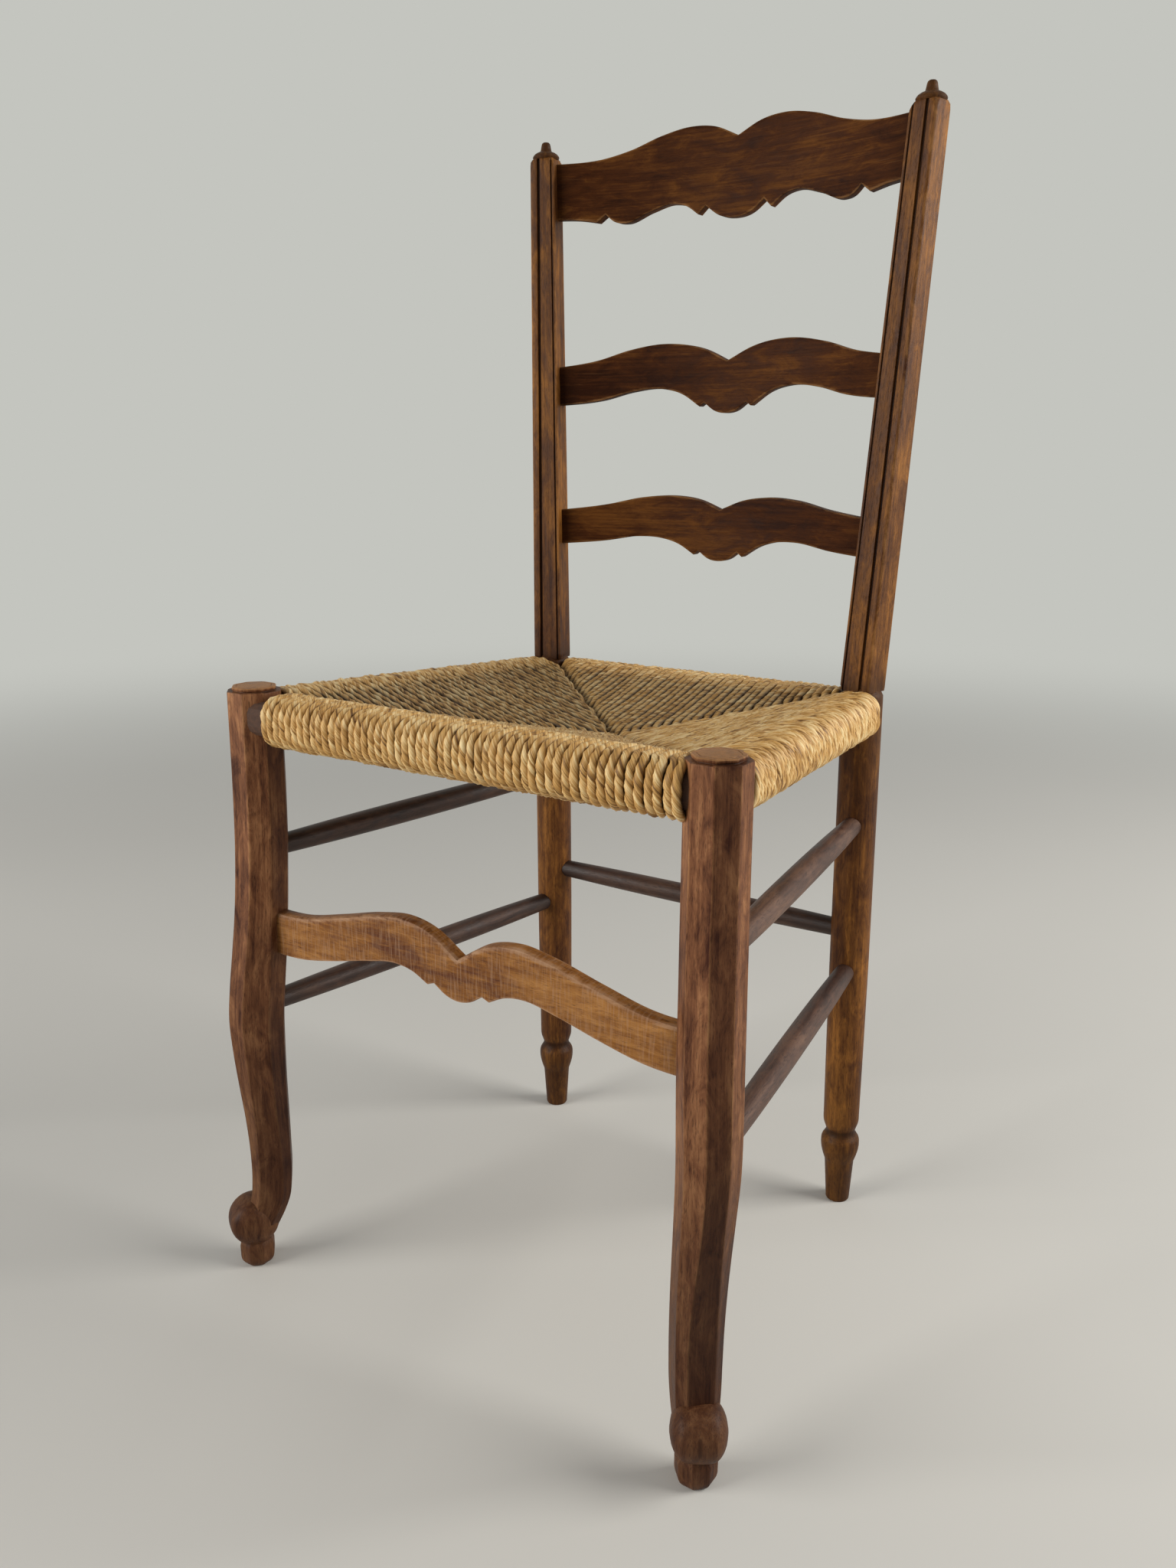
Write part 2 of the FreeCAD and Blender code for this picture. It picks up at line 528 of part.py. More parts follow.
class Rail:
    """One seat rail, its rush bay and its stuffing, told apart by their own sizes."""

    def __init__(self, start, end, half_width, half_height, tip_start, tip_end, plan):
        self.start = start
        self.end = end
        self.half_width = half_width
        self.half_height = half_height
        self.tip_start = tip_start
        self.tip_end = tip_end
        self.plan = plan
        run = V(end.x - start.x, end.y - start.y, 0)
        run.normalize()
        inward = V(-run.y, run.x, 0)
        centre = V(0, SEAT_CENTRE_Y, 0)
        if (centre - start).dot(inward) < 0:
            inward = inward * -1
        self.across = inward
        self.reach = (centre - V(start.x, start.y, 0)).dot(inward)

    def solid(self, blanks):
        """Rail with round tenons, and the mortise cutters."""
        along = self.end - self.start
        face = rail_face(self.half_width, self.half_height, self.start, self.across)
        body = face.extrude(along).cut(blanks)
        length = along.Length

        def pin(room, gap):
            low = self.tip_start - gap
            high = length - self.tip_end + gap
            radius = RAIL_TENON_RADIUS + room
            return rod(self.start, self.end, [(radius, low), (radius, high)])

        return body.fuse(pin(0, 0)).removeSplitter(), [pin(CLEAR, END_GAP)]

    def wrap_face(self, room):
        """Rail and stuffing in section, grown by room: what the cord goes round."""
        r = RAIL_ROUND + room
        rise = self.start.z

        def corner(sign, target):
            """Rounded edge of the rail that a layer leaves for the middle of the seat."""
            outside = (target - rise) * sign > self.half_height
            t = RAIL_ROUND - self.half_width if outside else self.half_width - RAIL_ROUND
            return t, rise + sign * (self.half_height - RAIL_ROUND)

        def tangent(sign, target):
            t, z = corner(sign, target)
            slope = math.atan2(target - z, self.reach - t)
            span = math.hypot(target - z, self.reach - t)
            return slope + sign * math.acos(RAIL_ROUND / span)

        def layer(sign, leave, last):
            """Straight run of the cord with its small hollow, as four chords."""
            runs = []
            for number in range(1, 4):
                share = number / 4
                hollow = RUSH_SAG * 4 * share * (1 - share) * sign
                runs.append((lerp(leave[0], last[0], share), lerp(leave[1], last[1], share) - hollow))
            return runs

        top_target = SEAT_CENTRE_TOP - RUSH
        low_target = SEAT_CENTRE_UNDER + RUSH
        top_corner = corner(1, top_target)
        low_corner = corner(-1, low_target)
        top_angle = tangent(1, top_target)
        low_angle = tangent(-1, low_target)
        top_last = (self.reach, top_target + room)
        low_last = (self.reach, low_target - room)
        quarter = math.pi / 2
        outer_t = RAIL_ROUND - self.half_width
        outline = round_corner(top_corner[0], top_corner[1], r, quarter, top_angle)
        outline += layer(1, outline[-1], top_last)
        outline += [top_last, (self.reach + 30, top_last[1]), (self.reach + 30, low_last[1]), low_last]
        outer_low = rise - self.half_height + RAIL_ROUND
        if low_corner[0] == outer_t:
            turn = round_corner(outer_t, outer_low, r, low_angle, -2 * quarter)
        else:
            turn = round_corner(low_corner[0], low_corner[1], r, low_angle, -quarter)
            turn += round_corner(outer_t, outer_low, r, -quarter, -2 * quarter)
        outline += reversed(layer(-1, turn[0], low_last))
        outline += turn
        outer_top = rise + self.half_height - RAIL_ROUND
        outline += round_corner(outer_t, outer_top, r, 2 * quarter, quarter)
        points = [self.start + self.across * t + V(0, 0, z - rise) for t, z in outline]
        return Part.Face(Part.makePolygon(points + [points[0]]))

    def prism(self, room):
        along = self.end - self.start
        face = self.wrap_face(room)
        face.translate(along * -0.3)
        return face.extrude(along * 1.6)

    def plan_cutter(self, inset=0.0):
        """Upright block over this bay's share of the seat."""
        points = [V(x, y, 0) for x, y in self.plan]
        wire = Part.makePolygon(points + [points[0]])
        if inset:
            wire = wire.makeOffset2D(-inset)
        block_up = Part.Face(wire)
        block_up.translate(V(0, 0, SEAT_CENTRE_UNDER - 60))
        return block_up.extrude(V(0, 0, 180))

    def rush(self, blanks):
        wrap = self.prism(RUSH).cut(self.prism(0))
        return wrap.common(self.plan_cutter()).cut(blanks)

    def stuffing(self, blanks):
        rail = rail_face(self.half_width + STUFFING_CLEAR, self.half_height + STUFFING_CLEAR,
                         self.start, self.across)
        along = self.end - self.start
        rail.translate(along * -0.3)
        hole = rail.extrude(along * 1.6)
        fill = self.prism(-STUFFING_CLEAR)
        behind = self.start + self.across * (self.half_width - RAIL_ROUND)
        slab = Part.Face(Part.makePolygon([behind + V(0, 0, -90), behind + V(0, 0, 90),
                                           behind + V(0, 0, 90) + self.across * PAST,
                                           behind + V(0, 0, -90) + self.across * PAST,
                                           behind + V(0, 0, -90)]))
        slab.translate(along * -0.3)
        inner = fill.common(slab.extrude(along * 1.6)).cut(hole)
        return inner.common(self.plan_cutter(STUFFING_CLEAR)).cut(blanks)


def seat_rails():
    """The four rails and the plan of the bay that is woven on each."""
    front_x = LEG_X
    side_x = LEG_X - SIDE_RAIL_IN
    leg_inner = LEG_X - LEG_WIDTH / 2
    leg_back = LEG_WIDTH / 2
    post = post_axis(BACK_RAIL_Z)
    post_inner = post.x - POST_RADIUS
    post_front = post.y - POST_RADIUS
    centre = (0.0, SEAT_CENTRE_Y)
    seam_front = (SEAT_CENTRE_Y - FRONT_RAIL_Y) / side_x
    seam_back = (post.y - SEAT_CENTRE_Y) / post.x
    far_front = -60.0
    far_back = post.y + 60.0
    far_side = LEG_X + 70.0

    left = leg_inner - FRONT_ROLL_GAP_LEFT
    right = leg_inner - FRONT_ROLL_GAP_RIGHT
    front_plan = [(-left, far_front), (right, far_front),
                  (right, SEAT_CENTRE_Y - seam_front * right), centre,
                  (-left, SEAT_CENTRE_Y - seam_front * left)]
    back_plan = [(post_inner, far_back), (-post_inner, far_back),
                 (-post_inner, SEAT_CENTRE_Y + seam_back * post_inner), centre,
                 (post_inner, SEAT_CENTRE_Y + seam_back * post_inner)]
    seam_x_front = (SEAT_CENTRE_Y - leg_back) / seam_front
    seam_x_back = (post_front - SEAT_CENTRE_Y) / seam_back
    right_plan = [(far_side, leg_back), (far_side, post_front), (seam_x_back, post_front),
                  centre, (seam_x_front, leg_back)]
    front_tip = LEG_WIDTH / 2 - FRONT_RAIL_TENON
    back_tip = POST_RADIUS - BACK_RAIL_TENON
    return {
        "front": Rail(V(-front_x, FRONT_RAIL_Y, FRONT_RAIL_Z), V(front_x, FRONT_RAIL_Y, FRONT_RAIL_Z),
                      RAIL_HALF_WIDTH, RAIL_HALF_HEIGHT, front_tip, front_tip, front_plan),
        "back": Rail(V(-post.x, post.y, BACK_RAIL_Z), V(post.x, post.y, BACK_RAIL_Z),
                     BACK_RAIL_HALF_WIDTH, BACK_RAIL_HALF_HEIGHT, back_tip, back_tip, back_plan),
        "right": Rail(V(side_x, 0, FRONT_RAIL_Z), V(post.x, post.y, BACK_RAIL_Z),
                      RAIL_HALF_WIDTH - 1.0, RAIL_HALF_HEIGHT - 0.5, front_tip, back_tip,
                      right_plan),
    }


def side_spindle(z, blanks):
    """Right side stretcher at a height, from the front leg to the back post."""
    post = post_axis(z)
    below = [row for row in LEG_ROWS if row[0] <= z][0]
    start = V(LEG_X + below[1], -below[2], z)
    return spindle(start, V(post.x, post.y, z), LEG_WIDTH / 2 - STRETCHER_TENON,
                   POST_RADIUS - STRETCHER_TENON + 3.0, STRETCHER_RADIUS, blanks)


def build():
    leg = front_leg_blank()
    post = back_post_blank()
    both_legs = [leg, mirrored(leg)]
    both_posts = [post, mirrored(post)]
    frame = both_legs + both_posts
    nodes = {}
    leg_cuts = []
    post_cuts = []

    crest_z = POST_TOP_Z - CREST_BELOW_TOP
    middle_z = lerp(SHOULDER_Z, POST_TOP_Z, MIDDLE_SHARE)
    lower_z = lerp(SHOULDER_Z, POST_TOP_Z, LOWER_SHARE)
    for name, z, ends, top, under in (
            ("crest_slat", crest_z, CREST_ENDS, CREST_TOP, CREST_UNDER),
            ("middle_slat", middle_z, MIDDLE_ENDS, MIDDLE_TOP, MIDDLE_UNDER),
            ("lower_slat", lower_z, LOWER_ENDS, LOWER_TOP, LOWER_UNDER)):
        nodes[name], cuts = slat(z, ends, top, under, post)
        post_cuts += cuts

    nodes["front_stretcher"], cuts = front_board(leg)
    leg_cuts += cuts

    for name, z in (("side_stretcher_upper", SIDE_UPPER_Z), ("side_stretcher_lower", SIDE_LOWER_Z)):
        piece, cuts = side_spindle(z, [leg, post])
        nodes[name + "_right"] = piece
        nodes[name + "_left"] = mirrored(piece)
        leg_cuts += cuts
        post_cuts += cuts

    post_at = post_axis(BACK_STRETCHER_Z)
    reach = POST_RADIUS - STRETCHER_TENON + 3.0
    nodes["back_stretcher"], cuts = spindle(V(-post_at.x, post_at.y, BACK_STRETCHER_Z),
                                            V(post_at.x, post_at.y, BACK_STRETCHER_Z),
                                            reach, reach, BACK_STRETCHER_RADIUS, both_posts)
    post_cuts += cuts

    rails = seat_rails()
    for name, rail in rails.items():
        piece, cuts = rail.solid(frame)
        bay = rail.rush(frame)
        fill = rail.stuffing(frame)
        if name == "right":
            for label, shape in (("seat_rail", piece), ("rush", bay), ("stuffing", fill)):
                nodes[label + "_right"] = shape
                nodes[label + "_left"] = mirrored(shape)
            leg_cuts += cuts
            post_cuts += cuts
        else:
            nodes["seat_rail_" + name] = piece
            nodes["rush_" + name] = bay
            nodes["stuffing_" + name] = fill
            if name == "front":
                leg_cuts += cuts
            else:
                post_cuts += cuts

    leg_done = leg.cut(leg_cuts)
    post_done = post.cut(post_cuts)
    nodes["front_leg_right"] = leg_done
    nodes["front_leg_left"] = mirrored(leg_done)
    nodes["back_post_right"] = post_done
    nodes["back_post_left"] = mirrored(post_done)
    return nodes


def centred(nodes):
    """Move the chair so that Z runs up through the middle of its plan."""
    whole = Part.makeCompound(list(nodes.values())).optimalBoundingBox(False, False)
    shift = V(0, -(whole.YMin + whole.YMax) / 2, 0)
    for shape in nodes.values():
        shape.translate(shift)
    print("moved in Y by", round(shift.y, 4), "to stand over the origin")
    print("size", round(whole.XLength, 2), round(whole.YLength, 2), round(whole.ZLength, 2))
    return nodes


def main():
    os.makedirs("parts", exist_ok=True)
    for name, shape in centred(build()).items():
        solids = shape.Solids
        if len(solids) == 1:
            shape = solids[0]
        print(name, len(solids), "solid", round(shape.Volume / 1000, 2), "cm3", shape.isValid())
        shape.exportStep("parts/" + name + ".step")


main()
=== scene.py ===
"""Looks of the ladderback chair: turned and moulded wood round a woven rush seat.

Lengths are in millimetres, X to the viewer's right, Y backwards and Z up, in the frame of the
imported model. Every piece is a surface worked out on a grid and stands for its plain CAD node."""

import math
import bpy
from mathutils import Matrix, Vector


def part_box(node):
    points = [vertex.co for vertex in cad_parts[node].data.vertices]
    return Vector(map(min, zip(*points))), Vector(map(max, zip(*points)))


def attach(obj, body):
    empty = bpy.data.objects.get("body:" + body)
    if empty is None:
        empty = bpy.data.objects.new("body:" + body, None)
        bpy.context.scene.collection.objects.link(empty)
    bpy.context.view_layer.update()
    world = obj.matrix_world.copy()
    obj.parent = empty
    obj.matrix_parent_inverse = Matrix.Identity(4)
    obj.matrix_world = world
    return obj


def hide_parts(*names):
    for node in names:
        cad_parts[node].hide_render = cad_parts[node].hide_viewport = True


bl_info = {
    "name": "Ladderback chair looks",
    "version": (1, 0, 0),
    "blender": (4, 5, 0),
    "location": "View3D > Sidebar > Chair",
    "description": "Builds the wood, the rush seat and the studio of a ladderback chair",
    "category": "Object",
}

import bpy
import numpy as np

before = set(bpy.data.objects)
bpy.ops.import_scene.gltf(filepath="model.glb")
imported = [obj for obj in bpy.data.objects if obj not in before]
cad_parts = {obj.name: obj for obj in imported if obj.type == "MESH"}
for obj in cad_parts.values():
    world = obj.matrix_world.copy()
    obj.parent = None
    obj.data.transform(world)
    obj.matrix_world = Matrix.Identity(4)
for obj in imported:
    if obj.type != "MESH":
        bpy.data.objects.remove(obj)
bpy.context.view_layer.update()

# Places and sizes that the pieces share, as in the part's source

MM = 1000                # millimetres in a metre
FRONT_RAIL_Y = -3.0
RAIL_LOW, RAIL_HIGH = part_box("seat_rail_front")
Y_SHIFT = (RAIL_LOW.y + RAIL_HIGH.y) / 2 * MM - FRONT_RAIL_Y

LEG_X = 192.0
POST_FOOT = np.array([151.3, 320.0, 0.0])
SHOULDER = np.array([150.2, 316.0, 456.0])
POST_TOP = np.array([168.2, 337.2, 875.4])
POST_TURN = math.radians(12)
POST_LOW_HALF = (13.1, 12.4)
POST_TOP_HALF = (11.1, 9.9)
POST_CORNER = 2.5

SLAT_THICKNESS = 9.0
SLAT_BOW = 29.4
SLAT_SET_BACK = 1.4

SEAT_CENTRE_Y = 187.0
SEAT_CENTRE_TOP = 424.0
SEAT_CENTRE_UNDER = 406.0
SEAT_SAG = 2.5
FRONT_RAIL_Z = 448.0
BACK_RAIL_Z = 436.0
SIDE_RAIL_IN = 2.0
RAIL_ROUND = 8.0
RUSH_LAYER = 6.3

STRETCHER_RADIUS = 9.4
BACK_STRETCHER_RADIUS = 9.0
STRETCHER_END_RADIUS = 7.4
BACK_STRETCHER_Z = 251.0
FRONT_BOARD_FACE_Y = -8.0
FRONT_BOARD_THICKNESS = 11.0


def linear(code):
    """Linear RGBA of an sRGB hex value."""
    channels = np.array([int(code[at:at + 2], 16) for at in (1, 3, 5)]) / 255
    low = channels / 12.92
    high = ((channels + 0.055) / 1.055) ** 2.4
    return (*np.where(channels <= 0.04045, low, high).tolist(), 1.0)


def shaded(colour, share):
    """A linear colour with only a share of its light."""
    return tuple(share * c for c in colour[:3]) + (1,)


def smooth(at, places, values):
    """Curve through given values: a cubic between each pair, sloped like its neighbours."""
    places = np.asarray(places, float)
    values = np.asarray(values, float)
    slope = np.gradient(values, places)
    left = np.clip(np.searchsorted(places, at, side="right") - 1, 0, len(places) - 2)
    gap = places[left + 1] - places[left]
    t = (at - places[left]) / gap
    rise = 3 * t ** 2 - 2 * t ** 3
    bend = (t ** 3 - 2 * t ** 2 + t) * slope[left] + (t ** 3 - t ** 2) * slope[left + 1]
    return values[left] * (1 - rise) + values[left + 1] * rise + bend * gap


def fade(value, low, high):
    """Smooth step from 0 at low to 1 at high."""
    t = np.clip((value - low) / (high - low), 0, 1)
    return t * t * (3 - 2 * t)


def wobble(length, step, seed):
    """Slow random wander along a length: random values a step apart, joined by a cubic."""
    count = int(length / step) + 4
    values = np.random.default_rng(seed).uniform(-1, 1, count)
    places = np.arange(count) * step - step
    return lambda at: smooth(at, places, values)


# Meshes

class Tube:
    """Closed skin over rings of points, each end closed by one point in its middle.

    The materials read grain, the place along and across the wood or the cord, edge, how far a
    corner is rubbed, and how much grime and painted shade darken it there."""

    def __init__(self, rings, grain, edge=0.0, grime_and_shade=0.0):
        rows, cols = rings.shape[:2]
        self.points = self.with_ends(rings)
        self.grain = self.with_ends(grain)
        self.edge = self.with_ends(np.broadcast_to(edge, (rows, cols))[..., None])[:, 0]
        self.grime_and_shade = self.with_ends(np.broadcast_to(grime_and_shade, (rows, cols))[..., None])[:, 0]
        row = np.arange(rows - 1)[:, None] * cols
        here = np.arange(cols)[None, :]
        after = (here + 1) % cols
        quads = np.stack([row + here, row + after, row + cols + after, row + cols + here], -1)
        self.quads = quads.reshape(-1, 4)
        here, after = here[0], after[0]
        last = (rows - 1) * cols
        first_end = np.stack([np.full(cols, rows * cols), after, here], -1)
        last_end = np.stack([np.full(cols, rows * cols + 1), last + here, last + after], -1)
        self.fans = np.concatenate([first_end, last_end])
        if self.volume() < 0:
            self.quads = self.quads[:, ::-1]
            self.fans = self.fans[:, ::-1]

    @staticmethod
    def with_ends(values):
        """All values in one column, and the mean of the first and of the last ring after them."""
        flat = values.reshape(-1, values.shape[-1])
        return np.concatenate([flat, values[0].mean(0)[None], values[-1].mean(0)[None]])

    def volume(self):
        """Sum of the tetrahedra from the origin to each triangle."""
        triangles = np.concatenate([self.quads[:, :3], self.quads[:, [0, 2, 3]], self.fans])
        a, b, c = (self.points[triangles[:, k]] for k in range(3))
        return float(np.einsum("ij,ij->", a, np.cross(b, c)))

    def mirrored(self, grain_shift):
        """The same skin on the other side of the chair, cut from another board."""
        other = object.__new__(Tube)
        other.points = self.points * [-1, 1, 1]
        other.grain = self.grain + grain_shift
        other.edge = self.edge
        other.grime_and_shade = self.grime_and_shade
        other.quads = self.quads[:, ::-1]
        other.fans = self.fans[:, ::-1]
        return other


def place_piece(name, tubes, material, nodes, crease=35.0):
    """Joins tubes into one mesh in metres, which rides on the chair and stands for CAD nodes."""
    starts = np.cumsum([0] + [len(tube.points) for tube in tubes])
    points = np.concatenate([tube.points for tube in tubes]) + [0, Y_SHIFT, 0]
    faces = []
    for tube, start in zip(tubes, starts):
        faces += (tube.quads + start).tolist() + (tube.fans + start).tolist()
    mesh = bpy.data.meshes.new(name)
    mesh.from_pydata((points / MM).tolist(), [], faces)
    # The third attribute holds the darkening by grime and painted shade
    for label, kind, values in (("grain", "FLOAT_VECTOR", [tube.grain / MM for tube in tubes]),
                                ("edge", "FLOAT", [tube.edge for tube in tubes]),
                                ("grime_and_shade", "FLOAT", [tube.grime_and_shade for tube in tubes])):
        layer = mesh.attributes.new(label, kind, "POINT")
        field = "vector" if kind == "FLOAT_VECTOR" else "value"
        layer.data.foreach_set(field, np.concatenate(values).astype(np.float32).ravel())
    mesh.polygons.foreach_set("use_smooth", np.ones(len(mesh.polygons), bool))
    mesh.set_sharp_from_angle(angle=math.radians(crease))
    mesh.materials.append(material)
    piece = bpy.data.objects.new(name, mesh)
    bpy.context.scene.collection.objects.link(piece)
    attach(piece, "root")
    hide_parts(*nodes)
    return piece


def place_pair(stem, ending, tubes, grain_shift, grime_and_shade, material):
    """The right piece and its mirror image, which has another grain and more painted shade."""
    others = [tube.mirrored(grain_shift) for tube in tubes]
    for tube in others:
        tube.grime_and_shade = tube.grime_and_shade + grime_and_shade
    for side, skins in (("right", tubes), ("left", others)):
        place_piece(f"{stem}_{side}_{ending}", skins, material, [f"{stem}_{side}"])


def lathe(profile, base, tip, shift, sides=48, grime_and_shade=0.0):
    """Turned skin: rings round the line from base to tip, at heights and radii of a profile."""
    base, tip = np.asarray(base, float), np.asarray(tip, float)
    along = (tip - base) / np.linalg.norm(tip - base)
    side = np.cross(along, [0, 1, 0] if abs(along[1]) < 0.7 else [1, 0, 0])
    side /= np.linalg.norm(side)
    other = np.cross(along, side)
    height, radius = np.asarray(profile, float).T
    turn = np.linspace(0, 2 * math.pi, sides, endpoint=False)
    a = radius[:, None] * np.cos(turn)
    b = radius[:, None] * np.sin(turn)
    rings = base + height[:, None, None] * along + a[..., None] * side + b[..., None] * other
    grain = np.stack([np.broadcast_to(height[:, None], a.shape), a, b], -1) + shift
    return Tube(rings, grain, grime_and_shade=grime_and_shade[:, None] if np.ndim(grime_and_shade) else grime_and_shade)


# Materials

def node(tree, kind, inputs=None, stops=None, **settings):
    """Adds one node, with its settings, its ramp's stops, and its sockets set or linked."""
    made = tree.nodes.new(kind)
    for key, value in settings.items():
        setattr(made, key, value)
    if stops:
        ramp = made.color_ramp.elements
        while len(ramp) < len(stops):
            ramp.new(1.0)
        for stop, (place, colour) in zip(ramp, stops):
            stop.position = place
            stop.color = colour
    for socket, value in (inputs or {}).items():
        if isinstance(value, bpy.types.NodeSocket):
            tree.links.new(value, made.inputs[socket])
        else:
            made.inputs[socket].default_value = value
    return made


def blank_material(name):
    """New material and its empty node tree."""
    material = bpy.data.materials.new(name)
    material.use_nodes = True
    material.node_tree.nodes.clear()
    return material, material.node_tree


def stained_wood(name, dark, body, light, worn, wear, shine=0.13, saw=0.0, pore=0.5):
    """Beech stained walnut brown under satin varnish that years of use have rubbed.

    The stain lies dark in the long pores and has worn off in mottles that show tan wood;
    corners are rubbed back further, and grime and painted shade darken it where the mesh says."""
    satin = 0.44
    material, tree = blank_material(name)
    grain, edge, grime_and_shade = (node(tree, "ShaderNodeAttribute", attribute_name=label)
                         for label in ("grain", "edge", "grime_and_shade"))

    # Patterns along the grain: length and width of one figure in mm, and the noise's detail,
    # roughness and distortion. Saw marks run across the board.
    sizes = {"streaks": (95, 2.6, 5.0, 0.62, 0.3), "mottle": (30, 10, 8.0, 0.68, 0.8),
             "clouds": (150, 55, 2.0, 0.5, 0.0), "pores": (5.5, 0.7, 2.0, 0.5, 0.0),
             "scuffs": (60, 1.3, 3.0, 0.7, 0.6)}
    if saw:
        sizes["saw_marks"] = (1.5, 22, 3.0, 0.6, 0.0)
    figures = {}
    for label, (along, across, detail, roughness, distortion) in sizes.items():
        place = node(tree, "ShaderNodeMapping",
                     {"Vector": grain.outputs["Vector"],
                      "Scale": (MM / along, MM / across, MM / across)})
        figures[label] = node(tree, "ShaderNodeTexNoise",
                              {"Vector": place.outputs[0], "Scale": 1.0, "Detail": detail,
                               "Roughness": roughness, "Distortion": distortion}).outputs[0]
    streaks, mottle = figures["streaks"], figures["mottle"]

    # Sums of patterns, each by its share: the wood's figure, and where a corner is rubbed,
    # which the mottle and the streaks break up
    figure = 0.0
    for pattern, share in ((streaks, 0.24), (mottle, 0.42), (figures["clouds"], 0.34)):
        figure = node(tree, "ShaderNodeMath", {0: pattern, 1: share, 2: figure},
                      operation="MULTIPLY_ADD").outputs[0]
    rubbed = -0.85
    for pattern, share in ((mottle, 1.5), (streaks, 0.7), (edge.outputs["Fac"], 1.0)):
        rubbed = node(tree, "ShaderNodeMath", {0: pattern, 1: share, 2: rubbed},
                      operation="MULTIPLY_ADD").outputs[0]
    colour = node(tree, "ShaderNodeValToRGB", {"Fac": figure},
                  stops=[(0.40, dark), (0.50, body), (0.61, light)]).outputs[0]

    # Layers over the stain: pattern, where it begins and is full, strength and colour
    layers = [(figures["pores"], 0.56, 0.68, pore, shaded(dark, 0.35)),
              (figures["scuffs"], 0.63, 0.80, 0.22, worn)]
    if saw:
        layers.append((figures["saw_marks"], 0.46, 0.72, saw, worn))
    # Then rubbed corners, and last the grime and painted shade that the mesh carries
    layers += [(rubbed, 0.95, 1.5, wear, worn),
               (grime_and_shade.outputs["Fac"], 0.0, 1.0, 0.85, shaded(dark, 0.3))]
    masks = []
    for pattern, begin, full, strength, tint in layers:
        mask = node(tree, "ShaderNodeMapRange",
                    {"Value": pattern, "From Min": begin, "From Max": full,
                     "To Min": 0.0, "To Max": strength}).outputs[0]
        colour = node(tree, "ShaderNodeMix", {0: mask, 6: colour, 7: tint},
                      data_type="RGBA").outputs[2]
        masks.append(mask)

    rough = node(tree, "ShaderNodeMapRange",
                 {"Value": mottle, "From Min": 0.3, "From Max": 0.7,
                  "To Min": satin - 0.06, "To Max": satin + 0.12})
    relief = streaks
    for pattern, share in ((masks[0], -0.9), (mottle, 1.2)):
        relief = node(tree, "ShaderNodeMath", {0: pattern, 1: share, 2: relief},
                      operation="MULTIPLY_ADD").outputs[0]
    bump = node(tree, "ShaderNodeBump", {"Height": relief, "Strength": 0.35,
                                         "Distance": 0.0006})
    shader = node(tree, "ShaderNodeBsdfPrincipled",
                  {"Base Color": colour, "Roughness": rough.outputs[0],
                   "IOR": 1.5, "Specular IOR Level": shine, "Normal": bump.outputs[0]})
    node(tree, "ShaderNodeOutputMaterial", {"Surface": shader.outputs[0]})
    return material


def rush_cord(name, shade, straw, pale, hollow):
    """Rush leaves twisted by hand into cord: silky, streaked leaf by leaf, with painted shade in
    the gaps.
    """
    material, tree = blank_material(name)
    grain = node(tree, "ShaderNodeAttribute", attribute_name="grain").outputs["Vector"]
    # In a cord's own coordinates, the third of which is its number: length and width of one
    # leaf and of a bundle of leaves in mm, and the noise's detail and roughness
    figures = []
    for along, around, detail, roughness in ((55, 1.5, 3.0, 0.6), (80, 4.5, 1.0, 0.5)):
        place = node(tree, "ShaderNodeMapping",
                     {"Vector": grain, "Scale": (MM / along, MM / around, MM)})
        figures.append(node(tree, "ShaderNodeTexNoise",
                            {"Vector": place.outputs[0], "Scale": 1.0, "Detail": detail,
                             "Roughness": roughness}).outputs[0])
    leaves, bundles = figures
    place = node(tree, "ShaderNodeTexCoord").outputs["Object"]
    patches = node(tree, "ShaderNodeTexNoise", {"Vector": place, "Scale": 24.0, "Detail": 2.0})
    value = -0.05
    for pattern, share in ((leaves, 0.6), (bundles, 0.4), (patches.outputs[0], 0.12)):
        value = node(tree, "ShaderNodeMath", {0: pattern, 1: share, 2: value},
                     operation="MULTIPLY_ADD").outputs[0]
    tone = node(tree, "ShaderNodeValToRGB", {"Fac": value},
                stops=[(0.36, shade), (0.49, straw), (0.63, pale)])
    # The hollow colour is painted shade, laid where the mesh marks the gaps between cords
    grime_and_shade = node(tree, "ShaderNodeAttribute", attribute_name="grime_and_shade").outputs["Fac"]
    colour = node(tree, "ShaderNodeMix", {0: grime_and_shade, 6: tone.outputs[0], 7: hollow},
                  data_type="RGBA")
    bump = node(tree, "ShaderNodeBump", {"Height": leaves, "Strength": 0.8,
                                         "Distance": 0.001})
    shader = node(tree, "ShaderNodeBsdfPrincipled",
                  {"Base Color": colour.outputs[2], "Roughness": 0.48, "Specular IOR Level": 0.35,
                   "Normal": bump.outputs[0]})
    node(tree, "ShaderNodeOutputMaterial", {"Surface": shader.outputs[0]})
    return material


def plain_matt(name, colour, spread, grit, rough):
    """Dull surface mottled at one grain size: rail wood darkened by painted shade, loose stuffing.
    """
    material, tree = blank_material(name)
    place = node(tree, "ShaderNodeTexCoord").outputs["Object"]
    mottle = node(tree, "ShaderNodeTexNoise", {"Vector": place, "Scale": MM / grit,
                                               "Detail": 4.0, "Roughness": 0.6})
    tone = node(tree, "ShaderNodeValToRGB", {"Fac": mottle.outputs[0]},
                stops=[(0.35, shaded(colour, 1 - spread)), (0.65, colour)])
    bump = node(tree, "ShaderNodeBump", {"Height": mottle.outputs[0], "Strength": 0.5,
                                         "Distance": grit / 4 / MM})
    shader = node(tree, "ShaderNodeBsdfPrincipled",
                  {"Base Color": tone.outputs[0], "Roughness": rough,
                   "Normal": bump.outputs[0]})
    node(tree, "ShaderNodeOutputMaterial", {"Surface": shader.outputs[0]})
    return material


# Settings that a user would change

COLOUR = dict(subtype="COLOR", size=4, min=0, max=1)


